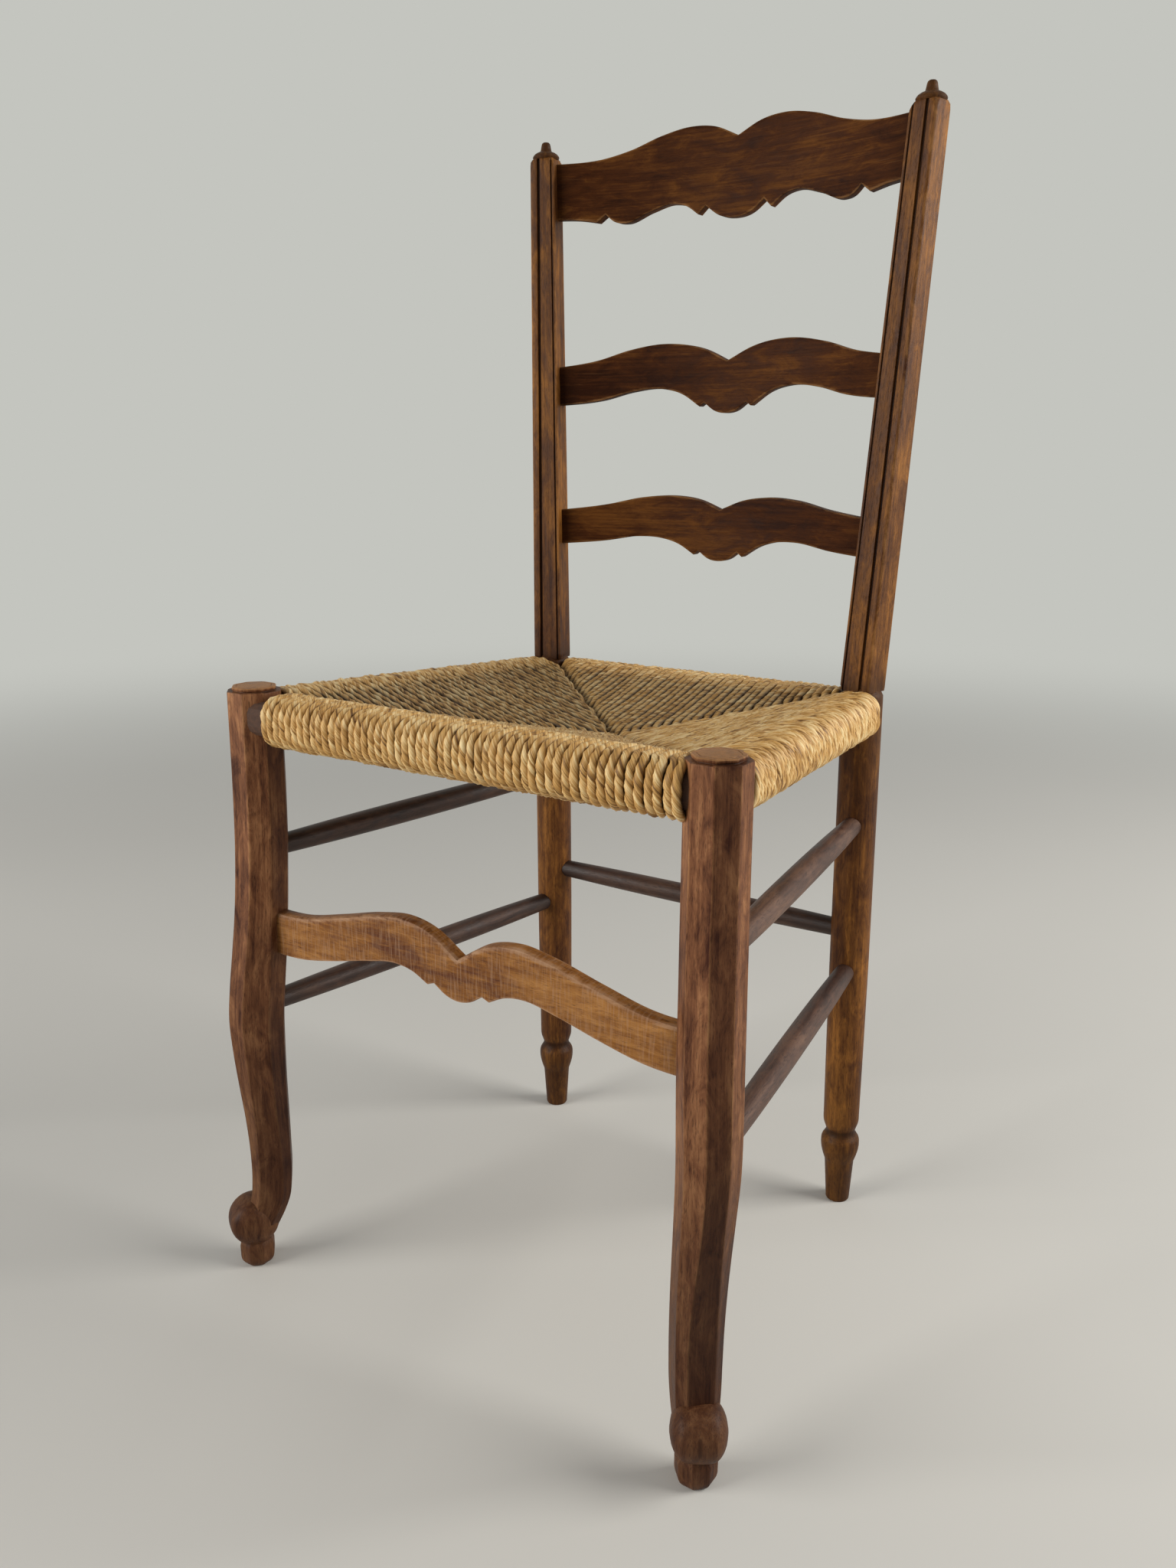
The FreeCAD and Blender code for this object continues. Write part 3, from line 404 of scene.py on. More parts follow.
class ChairWoodSettings(bpy.types.PropertyGroup):
    dark: bpy.props.FloatVectorProperty(
        name="Dark grain", description="Stain in the dense grain", default=linear("#401e10"),
        **COLOUR)
    body: bpy.props.FloatVectorProperty(
        name="Wood", description="Main colour of the stained wood", default=linear("#7d5033"),
        **COLOUR)
    light: bpy.props.FloatVectorProperty(
        name="Light grain", description="Stain between the pores", default=linear("#ad7a52"),
        **COLOUR)
    worn: bpy.props.FloatVectorProperty(
        name="Worn corners", description="Bare wood on rubbed corners", default=linear("#a67c50"),
        **COLOUR)
    wear: bpy.props.FloatProperty(
        name="Wear", description="How far corners are rubbed back", subtype="FACTOR",
        min=0, max=1, default=0.55)


class ChairRushSettings(bpy.types.PropertyGroup):
    pitch: bpy.props.FloatProperty(
        name="Cord spacing", description="Distance from cord to cord, in millimetres",
        min=3, max=12, default=6.0)
    lay: bpy.props.FloatProperty(
        name="Twist length", description="Length of one full twist, in millimetres",
        min=8, max=80, default=21.0)
    shade: bpy.props.FloatVectorProperty(
        name="Dark leaf", description="Colour of the darker leaves", default=linear("#6a4721"),
        **COLOUR)
    straw: bpy.props.FloatVectorProperty(
        name="Straw", description="Main colour of the rush", default=linear("#cc9c56"), **COLOUR)
    pale: bpy.props.FloatVectorProperty(
        name="Pale leaf", description="Colour of the palest leaves", default=linear("#f2d79f"),
        **COLOUR)


class ChairStudioSettings(bpy.types.PropertyGroup):
    floor: bpy.props.FloatVectorProperty(
        name="Floor", description="Colour of the floor", default=linear("#d5d3cc"), **COLOUR)
    key: bpy.props.FloatProperty(
        name="Window light", description="Power of the large soft lamp, in watts",
        subtype="POWER", min=0, max=500, default=66.0)


# Back posts

def post_axis(z):
    """Axis of the right back post at heights: one straight line below the shoulder, one above."""
    z = np.atleast_1d(np.asarray(z, float))[:, None]
    below = POST_FOOT + (SHOULDER - POST_FOOT) * z / SHOULDER[2]
    share = (z - SHOULDER[2]) / (POST_TOP[2] - SHOULDER[2])
    above = SHOULDER + (POST_TOP - SHOULDER) * share
    return np.where(z <= SHOULDER[2], below, above)


def arc_marks(corner_u, corner_v, radius, start):
    """Rounded corner of a section, with the rub mark strongest in its middle."""
    marks = []
    for angle in np.linspace(start, start + math.pi / 2, 6):
        reach = 1 - abs((angle - start) / (math.pi / 2) - 0.5)
        marks.append((corner_u, radius * (math.cos(angle) - corner_u), corner_v,
                      radius * (math.sin(angle) - corner_v), reach, 0.0))
    return marks


def post_section():
    """Moulded section from above. Each mark is side, offset, face, offset, edge and darkening
    by grime and painted shade, which is darkest in the grooves.
    """
    marks = [(-1, 0.0, 1, -1.7, 0.15, 0.0), (-1, 0.0, 1, -0.5, 0.7, 0.0),
             (-1, 0.15, 1, -0.15, 1.0, 0.0), (-1, 0.5, 1, 0.0, 0.7, 0.0),
             (-1, 1.3, 1, 0.0, 0.3, 0.2), (-1, 1.9, 1, 0.0, 0.4, 0.3),
             (-1, 2.4, 1, -1.2, 0.0, 1.0), (-1, 3.0, 1, -1.2, 0.0, 1.0),
             (-1, 3.5, 1, 0.0, 0.4, 0.3), (-1, 4.6, 1, 0.0, 0.0, 0.25),
             (1, -10.6, 1, 0.0, 0.0, 0.25), (1, -9.4, 1, 0.0, 0.4, 0.3),
             (1, -8.9, 1, -1.8, 0.0, 1.0), (1, -8.0, 1, -2.2, 0.0, 1.0),
             (1, -7.1, 1, -1.8, 0.0, 1.0), (1, -6.6, 1, -0.1, 0.6, 0.2),
             (1, -5.4, 1, 0.1, 0.1, 0.25), (1, -3.9, 1, 0.0, 0.1, 0.2)]
    outer_front = arc_marks(1, 1, POST_CORNER, 0.0)[::-1]
    outer_back = arc_marks(1, -1, POST_CORNER, -math.pi / 2)[::-1]
    inner_back = arc_marks(-1, -1, POST_CORNER, -math.pi)[::-1]
    marks += outer_front + [(1, 0.0, 1, -4.4, 0.1, 0.0), (1, 0.0, -1, 4.4, 0.1, 0.0)]
    marks += outer_back + [(1, -4.4, -1, 0.0, 0.1, 0.0), (-1, 4.4, -1, 0.0, 0.1, 0.0)]
    marks += inner_back + [(-1, 0.0, -1, 4.4, 0.1, 0.0)]
    return np.array(marks, float)


def post_tubes():
    """Right post: turned foot, moulded upper part cut to a dome, and finial."""
    # Heights of the upper part, with the radius that the lathe has left of it: its shoulder,
    # the length that stays uncut, and its dome
    uncut = 21.0
    ease = [(453.0, 16.4), (455.5, 17.0), (457.2, 18.4), (458.0, uncut)]
    dome = [(866.0, uncut), (869.0, 14.6), (872.0, 13.4), (874.0, 12.0), (875.4, 10.0)]
    plain = [(z, uncut) for z in np.arange(470, 860, 26.0)]
    z, limit = np.array(ease + plain + dome).T
    share = ((z - SHOULDER[2]) / (POST_TOP[2] - SHOULDER[2]))[:, None]
    half = POST_LOW_HALF[0] + (POST_TOP_HALF[0] - POST_LOW_HALF[0]) * share
    deep = POST_LOW_HALF[1] + (POST_TOP_HALF[1] - POST_LOW_HALF[1]) * share
    side, side_in, face, face_in, edge, grime_and_shade = post_section().T
    u = side * half + side_in
    v = face * deep + face_in
    shrink = np.minimum(1, limit[:, None] / np.hypot(u, v))
    u, v = u * shrink, v * shrink
    out = np.array([math.cos(POST_TURN), -math.sin(POST_TURN), 0])
    front = np.array([-math.sin(POST_TURN), -math.cos(POST_TURN), 0])
    rings = post_axis(z)[:, None, :] + u[..., None] * out + v[..., None] * front
    grain = np.stack([np.broadcast_to(z[:, None], u.shape), u, v], -1) + [0, 40, 0]
    # Grime and painted shade in the grooves, and painted shade where the post rises out of the
    # seat
    painted_shade_and_grime = np.maximum(grime_and_shade[None, :], 0.7 * fade(z, 478, 456)[:, None])
    upper = Tube(rings, grain, np.broadcast_to(edge, u.shape), painted_shade_and_grime)

    # Turned lower part, height and radius: peg, bulb and neck, long shaft, and its top, which
    # narrows inside the shoulder
    turned = [(0.0, 9.0), (0.4, 9.6), (1.4, 10.0), (38.0, 12.4)]
    belly = np.linspace(38.0, 84.0, 34)[1:]
    radii = smooth(belly, [38, 44, 50, 55, 60, 64, 67, 70, 75, 84],
                   [12.4, 14.4, 15.8, 16.2, 15.6, 13.2, 12.2, 13.0, 14.6, 15.0])
    turned += list(zip(belly, radii))
    turned += [(150.0, 15.6), (218.0, 16.0), (330.0, 16.0), (446.0, 16.0), (449.5, 15.9),
               (452.0, 14.6), (455.5, 11.4)]
    heights = np.array([h for h, _ in turned])
    # Painted shade in the neck above the bulb and under the seat, and darker towards the foot:
    # partly grime, partly painted shade
    ring_shade_and_grime = 0.8 * np.exp(-((heights - 67) / 3.0) ** 2) + 0.7 * fade(heights, 130, 30)
    ring_shade_and_grime += 0.6 * fade(heights, 380, 450)
    foot = lathe(turned, POST_FOOT, SHOULDER, [0, 40, 0], grime_and_shade=np.clip(ring_shade_and_grime, 0, 1))

    knob = [(-1.0, 10.4), (0.0, 11.1), (0.8, 11.3), (1.8, 10.9), (3.3, 9.6), (4.5, 7.6),
            (5.2, 5.9), (5.6, 5.1), (6.1, 4.7), (8.4, 4.2), (10.6, 3.8), (11.9, 3.3),
            (12.7, 2.3), (13.0, 0.8)]
    finial = lathe(knob, POST_TOP, POST_TOP + [0, 0, 1], [20, 40, 0], sides=32, grime_and_shade=0.75)
    return [upper, foot, finial]


# Front legs

# Centre line and section of the right leg. Each row: height, how far the centre has moved out
# and forward, half width of the flats that face X and Y, along the diagonal and across it.
LEG_ROWS = np.array([
    (22, 10.9, 26.0, 12.2, 12.0, 12.2), (34, 7.8, 22.4, 13.9, 13.2, 13.2),
    (46, 5.0, 18.8, 15.6, 14.6, 14.2), (59, 2.7, 15.2, 16.8, 15.2, 15.0),
    (76, 1.7, 13.5, 17.2, 15.3, 15.4), (100, 1.7, 13.1, 17.3, 15.4, 15.8),
    (128, 2.7, 13.3, 17.5, 16.3, 16.3), (156, 4.4, 13.8, 18.0, 17.8, 16.8),
    (184, 6.0, 13.8, 18.8, 19.4, 17.4), (212, 7.0, 13.1, 19.7, 20.5, 18.1),
    (240, 5.8, 10.7, 20.0, 20.6, 18.6), (268, 4.0, 7.9, 19.8, 20.2, 19.0),
    (296, 2.6, 5.3, 19.5, 19.6, 19.1), (324, 1.6, 3.4, 19.2, 19.2, 19.1),
    (352, 0.8, 2.0, 19.1, 19.1, 19.1), (380, 0.4, 1.2, 19.0, 19.0, 19.0),
    (472, 0.0, 0.0, 18.8, 18.8, 18.8)])


TOE_ANGLE = math.radians(58.0)
TOE_MIDDLE = np.array([LEG_X + 12.5, -26.6, 38.0])
TOE_HALF = 18.6
SOLE_MIDDLE = np.array([LEG_X + 10.9, -26.2])


def octagon(flat, near, far):
    """Corners of octagons. The flats that face X and Y lie flat away from the middle and reach
    near one way and far the other way along their faces."""
    ring = [(flat, -near), (flat, far), (far, flat), (-near, flat),
            (-flat, near), (-flat, -far), (-far, -flat), (near, -flat)]
    return np.stack([np.stack(pair, -1) for pair in ring], 1)


def soft_corners(corners, blunt, skirt):
    """Each corner of a ring becomes five points: skirt, blunted edge, skirt.

    corners is rows by corners by 2. Returns the points and their rub marks."""
    before = np.roll(corners, 1, axis=1) - corners
    after = np.roll(corners, -1, axis=1) - corners
    before /= np.linalg.norm(before, axis=-1, keepdims=True)
    after /= np.linalg.norm(after, axis=-1, keepdims=True)
    middle = corners + (before + after) * blunt / 4
    points = np.stack([corners + before * skirt, corners + before * blunt, middle,
                       corners + after * blunt, corners + after * skirt], 2)
    rows, count = corners.shape[:2]
    marks = np.tile([0.0, 0.6, 1.0, 0.6, 0.0], count)
    return points.reshape(rows, count * 5, 2), marks


def leg_tubes():
    """Right front leg: bowed octagon with a turned button on top, barrel toe and sole."""
    shaft = np.concatenate([np.arange(22, 380, 4.0), np.arange(380, 461, 12.0)])
    crown = np.array([(464.0, 21.0), (465.6, 20.9), (466.2, 20.4), (466.5, 19.7), (466.7, 17.0),
                      (466.8, 15.5), (467.1, 15.4), (467.5, 16.0), (468.0, 16.2), (469.2, 16.2),
                      (469.8, 15.7), (470.0, 14.8), (470.0, 13.4), (469.6, 13.1), (469.6, 12.8),
                      (470.0, 12.5), (470.3, 3.0), (470.2, 1.0)])
    z = np.concatenate([shaft, crown[:, 0]])
    limit = np.concatenate([np.full(len(shaft), 99.0), crown[:, 1]])
    out, forward, flat, along, across = (smooth(z, LEG_ROWS[:, 0], LEG_ROWS[:, column])
                                         for column in range(1, 6))
    root = math.sqrt(2)
    corners = octagon(flat, root * along - flat, root * across - flat)
    section, marks = soft_corners(corners, 0.7, 1.9)
    reach = np.linalg.norm(section, axis=-1)
    section = section * np.minimum(1, limit[:, None] / reach)[..., None]
    centre = np.stack([LEG_X + out, -forward], -1)
    flat_points = centre[:, None, :] + section
    heights = np.broadcast_to(z[:, None], section.shape[:2])
    rings = np.concatenate([flat_points, heights[..., None]], -1)
    grain = np.concatenate([heights[..., None], section], -1)
    top_ring = 0.6 * np.exp(-((z - 467.0) / 0.5) ** 2)
    # Painted shade on the flat after each corner, a set amount for each side: the front one has
    # none
    face_shade = np.array([0.12, 0.3, 0.3, 0.3, 0.38, 0.06, 0.0, 0.5])
    face_shade = np.stack([np.roll(face_shade, 1)] * 2 + [(face_shade + np.roll(face_shade, 1)) / 2]
                      + [face_shade] * 2, 1).ravel()
    # Darker towards the foot, partly grime and partly painted shade, and painted shade in the
    # groove under the button
    painted_shade_and_grime = face_shade + (0.74 * fade(z, 350, 80) + top_ring)[:, None]
    painted_shade_and_grime = np.clip(np.where((z > 468.5)[:, None], 0.0, painted_shade_and_grime), 0, 0.9)
    rub = np.maximum(marks * fade(z, 20, 90)[:, None], 1.3 * (z > 468.5)[:, None])
    leg = Tube(rings, grain, rub, painted_shade_and_grime)

    # Toe: a drum lying across the leg's diagonal, crowned and closed at its ends
    across_toe = np.array([math.sin(TOE_ANGLE), math.cos(TOE_ANGLE), 0])
    side = [0.0, 0.8, 2.2, 4.4, 7.0, 10.5, 14.5, 18.6, 22.7, 26.7, 30.2, 32.8, 35.0, 36.4, 37.2]
    radius = [2.0, 6.8, 11.0, 14.7, 17.3, 18.7, 19.2, 19.3, 19.2, 18.7, 17.3, 14.7, 11.0, 6.8, 2.0]
    places = np.linspace(0, 2 * TOE_HALF, 61)
    drum = list(zip(places, smooth(places, side, radius)))
    # Darkened all over like the foot of the leg: partly grime, partly painted shade
    toe = lathe(drum, TOE_MIDDLE - across_toe * TOE_HALF, TOE_MIDDLE, [0, 0, 0], sides=72,
                grime_and_shade=0.8)
    toe.grain = np.stack([toe.points[:, 2], toe.points[:, 0] - LEG_X, toe.points[:, 1]], -1)
    # A short split in the middle of the toe's face
    aside = (toe.points - TOE_MIDDLE) @ across_toe
    outward = (toe.points - TOE_MIDDLE) @ [math.cos(TOE_ANGLE), -math.sin(TOE_ANGLE), 0]
    split = np.exp(-(aside / 0.9) ** 2) * fade(toe.points[:, 2], 32, 38)
    split *= fade(toe.points[:, 2], 48, 44) * (outward > 0)
    toe.grime_and_shade = np.clip(toe.grime_and_shade + split, 0, 1)

    # Sole: a low octagon under the toe, its bottom edge rounded
    shape = [(0.0, 8.8), (0.6, 9.9), (1.6, 10.8), (3.0, 11.7), (4.8, 12.5), (7.5, 13.0),
             (16.5, 13.1), (18.2, 12.8), (20.0, 12.2), (22.5, 11.0), (24.0, 10.6)]
    level, width = np.array(shape).T
    slant = width * math.tan(math.radians(22.5))
    section, marks = soft_corners(octagon(width, slant, slant), 0.7, 1.7)
    heights = np.broadcast_to(level[:, None], section.shape[:2])
    rings = np.concatenate([SOLE_MIDDLE + section, heights[..., None]], -1)
    # Darkened like the toe: partly grime, partly painted shade
    sole = Tube(rings, np.concatenate([heights[..., None], section], -1),
                np.broadcast_to(marks * 0.5, section.shape[:2]), 0.8)
    return [leg, toe, sole]


# Boards with a shaped outline: each half outline is distance from the middle, height

CREST = dict(top=[(0, 879.0), (20, 887.6), (42, 890.0), (68, 885.6), (94, 877.0), (116, 872.0)],
             under=[[(0, 818.0), (14, 820.6), (26.5, 829.0)],
                    [(33, 822.8), (43, 829.6), (56, 832.6), (76, 828.0), (98, 820.5),
                     (107, 822.3), (114.3, 828.2)],
                    [(122, 822.2), (138, 824.8)]],
             ends=(869.4, 825.8))
MIDDLE = dict(top=[(0, 707.5), (23, 717.8), (55, 722.7), (90, 718.3), (115, 711.0)],
              under=[[(0, 665.7), (10, 667.8), (19.6, 674.4)],
                     [(24, 671.3), (40, 681.4), (60, 686.2), (88, 683.8), (112, 677.7)]],
              ends=(703.9, 672.5))
LOWER = dict(top=[(0, 586.9), (22, 595.0), (43, 597.8), (72, 596.2), (104, 589.8)],
             under=[[(0, 544.0), (10, 546.0), (18.6, 551.9)],
                    [(23.2, 548.6), (38, 557.2), (54, 561.7), (74, 562.7), (108, 557.9)]],
             ends=(583.4, 554.3))
FRONT = dict(top=[(0, 302.0), (24, 316.4), (48, 321.3), (75, 317.8), (113, 308.3), (148, 300.4)],
             under=[[(0, 271.0), (11, 273.4), (21, 279.6)],
                    [(27, 277.3), (40, 283.6), (56, 286.0), (83, 281.5), (116, 273.5),
                     (148, 267.2)]],
             ends=(299.0, 265.8))


def outline(shape, reach, axis_x):
    """Stations from the middle to one end of a board, with its top and under edge at each.

    Every kink of the under edge is a station of its own."""
    kinks = sorted({x for run in shape["under"] for x in (run[0][0], run[-1][0])} - {0})
    kinks = [x for x in kinks if x < reach]
    stations = np.unique(np.concatenate([np.linspace(0, reach, 90), kinks]))
    top_x, top_z = np.array(shape["top"] + [(axis_x, shape["ends"][0])], float).T
    top = smooth(stations, top_x, top_z)
    runs = [list(run) for run in shape["under"]]
    runs[-1].append((axis_x, shape["ends"][1]))
    under = np.zeros_like(stations)
    for number, run in enumerate(runs):
        x, z = np.array(run, float).T
        if number == 0:
            x, z = np.concatenate([-x[:0:-1], x]), np.concatenate([z[:0:-1], z])
        inside = (stations >= run[0][0]) & (stations <= run[-1][0])
        under[inside] = smooth(stations[inside], x, z)
        if number:
            before = runs[number - 1][-1]
            step = (stations > before[0]) & (stations < run[0][0])
            under[step] = np.interp(stations[step], *np.array([before, run[0]], float).T)
    return stations, top, under


def board_tube(shape, reach, axis_x, front, thickness, lean, shift, soft, top_soft):
    """Board as sections along X: front face, top, back and under edge with blunted corners.

    front and thickness are functions of the place along it, lean tilts a section back, soft
    rounds its edges, and top_soft the one between its top and its front."""
    stations, top, under = outline(shape, reach, axis_x)
    x = np.concatenate([-stations[:0:-1], stations])
    top = np.concatenate([top[:0:-1], top])
    under = np.concatenate([under[:0:-1], under])
    face = front(x)
    back = face + thickness(x)
    # Marks of the section: share of the height, offset in height, share of the depth, offset
    marks = [(0, 3.0, 0, 0.0, 0.25), (0, soft, 0, 0.0, 0.9), (0, soft * 0.3, 0, soft * 0.3, 1.0),
             (0, 0.0, 0, soft, 0.8), (0, 0.0, 0, 2.6, 0.1), (0, 0.0, 1, -2.6, 0.1),
             (0, 0.0, 1, -soft, 0.8), (0, soft * 0.3, 1, -soft * 0.3, 1.0), (0, soft, 1, 0.0, 0.8),
             (0, 3.0, 1, 0.0, 0.1), (1, -3.0, 1, 0.0, 0.1), (1, -soft, 1, 0.0, 0.8),
             (1, -soft * 0.3, 1, -soft * 0.3, 1.0), (1, 0.0, 1, -soft, 0.8),
             (1, 0.0, 1, -2.6, 0.1), (1, 0.0, 0, top_soft + 1.2, 0.1), (1, 0.0, 0, top_soft, 0.8),
             (1, -top_soft * 0.3, 0, top_soft * 0.3, 1.0), (1, -top_soft, 0, 0.0, 0.8),
             (1, -top_soft - 2.0, 0, 0.0, 0.1)]
    rise, rise_in, depth, depth_in, edge = np.array(marks, float).T
    z = under[:, None] + (top - under)[:, None] * rise + rise_in
    y = face[:, None] + (back - face)[:, None] * depth + depth_in
    middle = (shape["ends"][0] + shape["ends"][1]) / 2
    y = y + (z - middle) * lean
    xs = np.broadcast_to(x[:, None], z.shape)
    rings = np.stack([xs, y, z], -1)
    grain = np.stack([xs, z - middle, np.broadcast_to(depth, z.shape) * 9], -1) + shift
    # Painted shade towards the ends, where the board meets the posts or legs, and a little on the
    # lower part of its faces and underside
    ends = 0.45 * fade(np.abs(x), reach - 26, reach)[:, None]
    ridge = np.clip((0.35 - rise) * 0.5, 0, 1) * np.broadcast_to((edge < 0.5) * 0.4, z.shape)
    return Tube(rings, grain, np.broadcast_to(edge, z.shape), np.clip(ends + ridge, 0, 1))


def slat_tube(shape, shift):
    """Back slat: an arc between the posts, bowed away from the sitter, leaning as they do."""
    z = (shape["ends"][0] + shape["ends"][1]) / 2
    axis = post_axis(z)[0]
    share = (z - SHOULDER[2]) / (POST_TOP[2] - SHOULDER[2])
    inner = axis[0] - (POST_LOW_HALF[0] + (POST_TOP_HALF[0] - POST_LOW_HALF[0]) * share)
    bend = (inner ** 2 + SLAT_BOW ** 2) / (2 * SLAT_BOW)
    centre = axis[1] - SLAT_SET_BACK + SLAT_BOW - bend
    lean = (POST_TOP[1] - SHOULDER[1]) / (POST_TOP[2] - SHOULDER[2])

    def front(x):
        return centre + np.sqrt(bend ** 2 - x ** 2)

    def thickness(x):
        return np.sqrt((bend + SLAT_THICKNESS) ** 2 - x ** 2) - np.sqrt(bend ** 2 - x ** 2)

    return board_tube(shape, inner + 3.0, axis[0], front, thickness, lean, shift, 0.9, 0.9)


def front_board_tube():
    """Front stretcher: a flat sawn board between the legs, upright."""
    return board_tube(FRONT, LEG_X - 12, LEG_X, lambda x: np.full(x.shape, FRONT_BOARD_FACE_Y),
                      lambda x: np.full(x.shape, FRONT_BOARD_THICKNESS), 0.0, [0, 300, 0],
                      1.1, 3.0)


def stretcher_tube(start, end, belly, shift, grime_and_shade):
    """Turned stretcher: a slow swell from each end to the middle."""
    start, end = np.asarray(start, float), np.asarray(end, float)
    length = np.linalg.norm(end - start)
    places = np.linspace(0, 1, 41)
    thin = STRETCHER_END_RADIUS
    shoulder = thin + (belly - thin) * 0.72
    radius = smooth(places, [0, 0.22, 0.5, 0.78, 1], [thin, shoulder, belly, shoulder, thin])
    away = np.minimum(places, 1 - places) * length
    # Painted shade towards each end, where it meets a leg or post, on top of the given darkening
    return lathe(list(zip(places * length, radius)), start, end, shift, sides=28,
                 grime_and_shade=grime_and_shade + 0.45 * fade(away, 60, 22))


# Rush seat

class Bay:
    """One quarter of the seat: its rail, the way inwards, and the seams that bound it."""

    def __init__(self, start, end, half_width, half_height, first, last):
        self.start = np.asarray(start, float)
        self.run = np.asarray(end, float) - self.start
        self.length = float(np.hypot(*self.run[:2]))
        self.run /= self.length
        self.inward = np.array([-self.run[1], self.run[0], 0.0])
        if np.dot(np.array([0, SEAT_CENTRE_Y, 0]) - self.start, self.inward) < 0:
            self.inward = -self.inward
        self.half_width = half_width
        self.half_height = half_height
        self.first, self.last = first, last
        to_centre = [-self.start[0], SEAT_CENTRE_Y - self.start[1]]
        self.reach = float(np.dot(to_centre, self.inward[:2]))

    def seam(self, place):
        """Distance inwards from the rail to the nearer seam, for cords at places along it,
        and whether that seam is one of the two at the front."""
        point = self.start[:2] + np.asarray(place)[:, None] * self.run[:2]
        dx, dy = self.inward[:2]
        found = []
        for slope in (SEAM_FRONT, SEAM_BACK):
            for side in (1, -1):
                # The seam is the line Y = centre + slope * side * X
                tilt = slope * side
                bottom = dy - tilt * dx
                t = (SEAT_CENTRE_Y + tilt * point[:, 0] - point[:, 1]) / bottom
                met = point[:, 0] + dx * t
                right_side = met * side >= -1e-6
                found.append(np.where((t > 0) & right_side, t, 1e9))
        found = np.array(found)
        return found.min(0), found.argmin(0) < 2

    def wrap(self, room, rise):
        """Line that a cord's middle follows in section: top layer, round the rail, under layer.

        Points are distance inwards and height above the rail's axis, from the seat's centre
        out over the rail and back below. Each layer hangs a little under its straight line."""
        r = RAIL_ROUND + room

        def corner(sign, target):
            outside = (target - rise) * sign > self.half_height
            t = RAIL_ROUND - self.half_width if outside else self.half_width - RAIL_ROUND
            return t, sign * (self.half_height - RAIL_ROUND)

        def tangent(sign, target):
            t, z = corner(sign, target)
            slope = math.atan2(target - rise - z, self.reach - t)
            span = math.hypot(target - rise - z, self.reach - t)
            return slope + sign * math.acos(RAIL_ROUND / span)

        def turn(centre, start, end):
            angle = np.linspace(start, end, 14)
            return np.stack([centre[0] + r * np.cos(angle), centre[1] + r * np.sin(angle)], -1)

        def layer(leave, last, sign):
            share = np.linspace(0, 1, 30)[:, None]
            straight = leave + (last - leave) * share
            hollow = SEAT_SAG * 4 * share * (1 - share) * sign
            return straight - hollow * [0, 1]

        top_target = SEAT_CENTRE_TOP - RUSH_LAYER
        low_target = SEAT_CENTRE_UNDER + RUSH_LAYER
        top, low = corner(1, top_target), corner(-1, low_target)
        quarter = math.pi / 2
        outer = RAIL_ROUND - self.half_width
        top_turn = turn(top, tangent(1, top_target), quarter)
        last = np.array([self.reach, top_target - rise + room])
        line = [layer(top_turn[0], last, 1)[:0:-1], top_turn,
                turn((outer, top[1]), quarter, 2 * quarter)]
        if low[0] == outer:
            line.append(turn(low, -2 * quarter, tangent(-1, low_target)))
        else:
            line.append(turn((outer, low[1]), -2 * quarter, -quarter))
            line.append(turn(low, -quarter, tangent(-1, low_target)))
        last = np.array([self.reach, low_target - rise - room])
        line.append(layer(line[-1][-1], last, -1)[1:])
        return np.concatenate(line)


POST_AT_RAIL = post_axis(BACK_RAIL_Z)[0]
SIDE_RAIL_X = LEG_X - SIDE_RAIL_IN
FRONT_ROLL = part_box("rush_front")
SEAM_FRONT = -(SEAT_CENTRE_Y - FRONT_RAIL_Y) / SIDE_RAIL_X
SEAM_BACK = (POST_AT_RAIL[1] - SEAT_CENTRE_Y) / POST_AT_RAIL[0]
# Each bay: its rail's ends, half width and half height, and the first and last cord's outside,
# clear of the leg or post
BAYS = {
    "front": Bay((-LEG_X, FRONT_RAIL_Y, FRONT_RAIL_Z), (LEG_X, FRONT_RAIL_Y, FRONT_RAIL_Z),
                 14.0, 12.5, LEG_X + MM * FRONT_ROLL[0].x + 0.5,
                 LEG_X + MM * FRONT_ROLL[1].x + 2.6),
    "back": Bay((-POST_AT_RAIL[0], POST_AT_RAIL[1], BACK_RAIL_Z), POST_AT_RAIL, 12.0, 11.0,
                17.0, 2 * POST_AT_RAIL[0] - 17.0),
    "right": Bay((SIDE_RAIL_X, 0.0, FRONT_RAIL_Z), POST_AT_RAIL, 13.0, 12.0, 19.4,
                 math.hypot(SIDE_RAIL_X - POST_AT_RAIL[0], POST_AT_RAIL[1]) - 16.6),
}
CORD_SIDES = 14
CORD_STEP = 2.1          # from ring to ring of a cord
# How a cord strays, in mm, as a share of its thickness or in radians, and over what length
CORD_LIFT = (0.35, 38)
CORD_DRIFT = (0.55, 55)
CORD_SWELL = (0.07, 30)
TWIST_DRIFT = (0.9, 24)
LEANING_CORDS = 16
LEAN = 4.6               # how far the last cord leans out
DARKEST = 0.92           # most that the painted shade between the cords may darken
